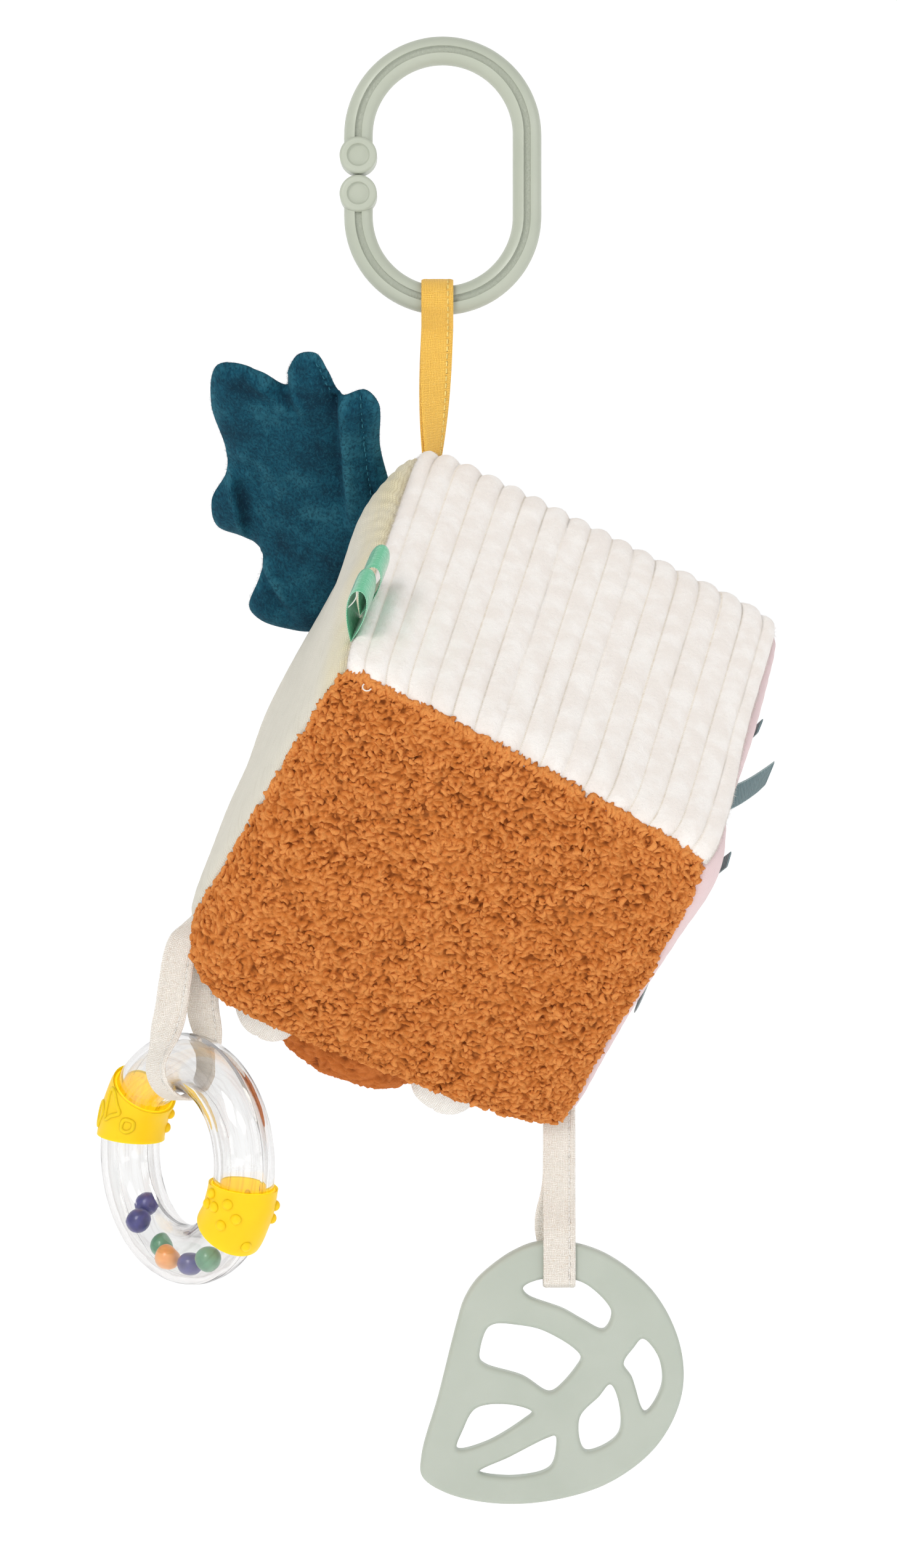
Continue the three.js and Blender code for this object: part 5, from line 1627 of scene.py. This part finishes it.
def leaf_sheet(outline):
    """Flat places inside the leaf's outline, after those of the outline, and the triangles between."""
    step = 1.15
    across, along = np.meshgrid(np.arange(0, 76, step), np.arange(-22, 92, step), indexing="ij")
    along = along + (np.arange(across.shape[0]) % 2)[:, None] * step / 2
    inner = np.stack([across.ravel(), along.ravel()], -1)
    away, crossings = np.full(len(inner), 1e9), np.zeros(len(inner), int)
    for a, b in zip(outline, np.roll(outline, -1, 0)):
        away = np.minimum(away, to_stretch(inner, a, b)[0])
        if a[1] != b[1]:
            meets = (a[1] > inner[:, 1]) != (b[1] > inner[:, 1])
            crossing = a[0] + (b - a)[0] * (inner[:, 1] - a[1]) / (b - a)[1]
            crossings += meets & (inner[:, 0] < crossing)
    inner = inner[(crossings % 2 == 1) & (away > 0.6)]
    rim = [(i, (i + 1) % len(outline)) for i in range(len(outline))]
    places = [tuple(place) for place in np.concatenate([outline, inner])]
    flat, _, faces, *_ = delaunay_2d_cdt(places, rim, [], 1, 1e-5)
    return np.array([tuple(place) for place in flat]), np.array(faces)


def leaf_form(flat, away):
    """How high the leaf's middle stands, half its thickness and its painted light and shade, at flat places
    that lie away from its free rim."""
    room = np.insert(flat, 2, 0, axis=1)
    # Pinched at the rim and at the root, and padded from a few millimetres inside them
    half = 0.35 + 2.75 * (1 - bell(away, 3.2, 1.3)) ** 0.8
    half = half * np.clip(0.3 + flat[:, 0] / 9, 0.3, 1)
    half = half + 0.5 * uneven(room, 8, 51) * np.clip(away / 4, 0, 1)
    bend, painted_light_and_shade, dent = np.zeros((3, len(flat)))
    # Each fold is a step, gentle away from its line, with painted light on its ridge and painted shade at its
    # foot
    for line, right, left, right_wide, left_wide, steep in LEAF_FOLDS:
        near, where, side, length = from_line(flat, line)
        shown = np.clip(where / 2, 0.3, 1) * np.clip((length - where) / (0.45 * length), 0, 1)
        step = (1 - np.tanh(side * near / steep)) / 2
        bend += shown * right * step * np.exp(-near / right_wide)
        bend += shown * left * (1 - step) * np.exp(-near / left_wide)
        high = step if right > left else 1 - step
        painted_light = high * bell(near - 1.6, 1.7) - (1 - high) * bell(near, 2.6)
        painted_light_and_shade += shown * painted_light * min(abs(right - left) / 5, 1)
    # Low waves all over, none of them at the seam
    bend += 2.2 * uneven(room, 24, 52) + 0.5 * uneven(room, 9, 53)
    bend *= np.clip((flat[:, 0] - 2) / 8, 0, 1)
    for line in LEAF_STITCHES:
        dent += bell(from_line(flat, line)[0], 0.55)
    # Lighter along the free rim, and painted shade in the dents of the stitches.
    painted_light_and_shade += 0.8 * bell(away, 1.6) - 0.7 * dent
    return bend, half - 1.1 * dent, painted_light_and_shade


def leaf_fringe(rng, outline, bend):
    """Fine fibres that stand out all round the leaf's free rim."""
    count = 5000
    free = outline[:, 0] > 4
    picked = rng.integers(0, free.sum(), count)
    rim, level = outline[free][picked], bend[:len(outline)][free][picked]
    centre = np.array([30.0, 30.0])
    flat = rim * 0.985 + centre * 0.015 + rng.normal(0, 0.35, (count, 2))
    roots = on_leaf(flat, level + rng.uniform(-0.4, 0.4, count))
    return fibres(roots, (rim - centre) @ np.stack([LEAF_OUT, SEAM_DOWN]), 0.75, 0.05, 55, spread=0.7)


def leaf():
    """Two sheets that meet at the rim, two rows of stitches, and the fringe."""
    inset = 1.6
    knots = [(inset + out * (LEAF_REACH - inset), down * LEAF_REACH) for out, down in LEAF_OUTLINE]
    outline = smoothed(knots, 10, False)
    flat, faces = leaf_sheet(outline)
    away = np.full(len(flat), 1e9)
    for a, b in zip(outline, np.roll(outline, -1, 0)):
        if max(a[0], b[0]) >= inset + 0.5:
            away = np.minimum(away, to_stretch(flat, a, b)[0])
    bend, half, painted_light_and_shade = leaf_form(flat, away)
    count, rim = len(flat), np.arange(len(outline))
    after = np.roll(rim, -1)
    wall = [np.stack([rim, rim + count, after + count], -1), np.stack([rim, after + count, after], -1)]
    skin = np.concatenate([on_leaf(flat, bend + half), on_leaf(flat, bend - half)])
    seams = [stitches(line, flat, bend + half) for line in LEAF_STITCHES]
    rng = np.random.default_rng(54)
    hairs, strands = leaf_fringe(rng, outline, bend)
    points, every = joined(
        (skin, np.concatenate([faces, faces[:, ::-1] + count, *wall])), *seams, (hairs, strands))
    threads = sum(len(some) for some, _ in seams)
    # The leaf's pile values carry its painted light and shade; the loose hairs get random darker tones.
    pile = np.concatenate([painted_light_and_shade, painted_light_and_shade, np.zeros(threads), rng.uniform(-1.5, 0.3, len(hairs))])
    thread = np.concatenate([np.zeros(2 * count), np.ones(threads), np.zeros(len(hairs))])
    piece = make("velour_leaf", in_room(points), every, PETROL, values={"pile": pile, "thread": thread})
    weld(piece)
    dressed(piece, "leaf", "blue_velour", "leaf_outer_cover", "leaf_inner_cover")


leaf()


# A loose end of sewing thread at the seam above the brown side


def thread_end():
    t = np.linspace(0, 1, 30)
    start, arc = 2.3, 3.5
    root = in_room(on_side("front", np.array([-0.855]), np.array([0.985]))[0])[0] + [0, -1.9, -0.6]
    turn = start + arc * t
    path = root + np.stack([1.3 * np.cos(turn), -0.7 * np.sin(math.pi * t), 1.1 * np.sin(turn)], -1)
    points, faces, _ = tape(path, [0, 1, 0], 0.4, 0.4, 5)
    dressed(make("thread_end", points, faces, THREAD), "block", "strap_linen")


thread_end()


# Floor


def studio_floor():
    """A wide sheet under the block, which sweeps up behind it."""
    level = cad_box[0][2] - 0.03
    front, bend_start, radius, height, half_width = -6, 1.2, 2.4, 7, 8
    turns = np.linspace(0, math.pi / 2, 17)
    sweep = [(bend_start + radius * math.sin(a), radius * (1 - math.cos(a))) for a in turns]
    sweep = [(front, 0)] + sweep + [(bend_start + radius, height)]
    points = np.array([[[side, y, level + z] for y, z in sweep] for side in (half_width, -half_width)]) / MM
    make("studio_floor", points, quads(*points.shape[:2]), floor_look())


studio_floor()
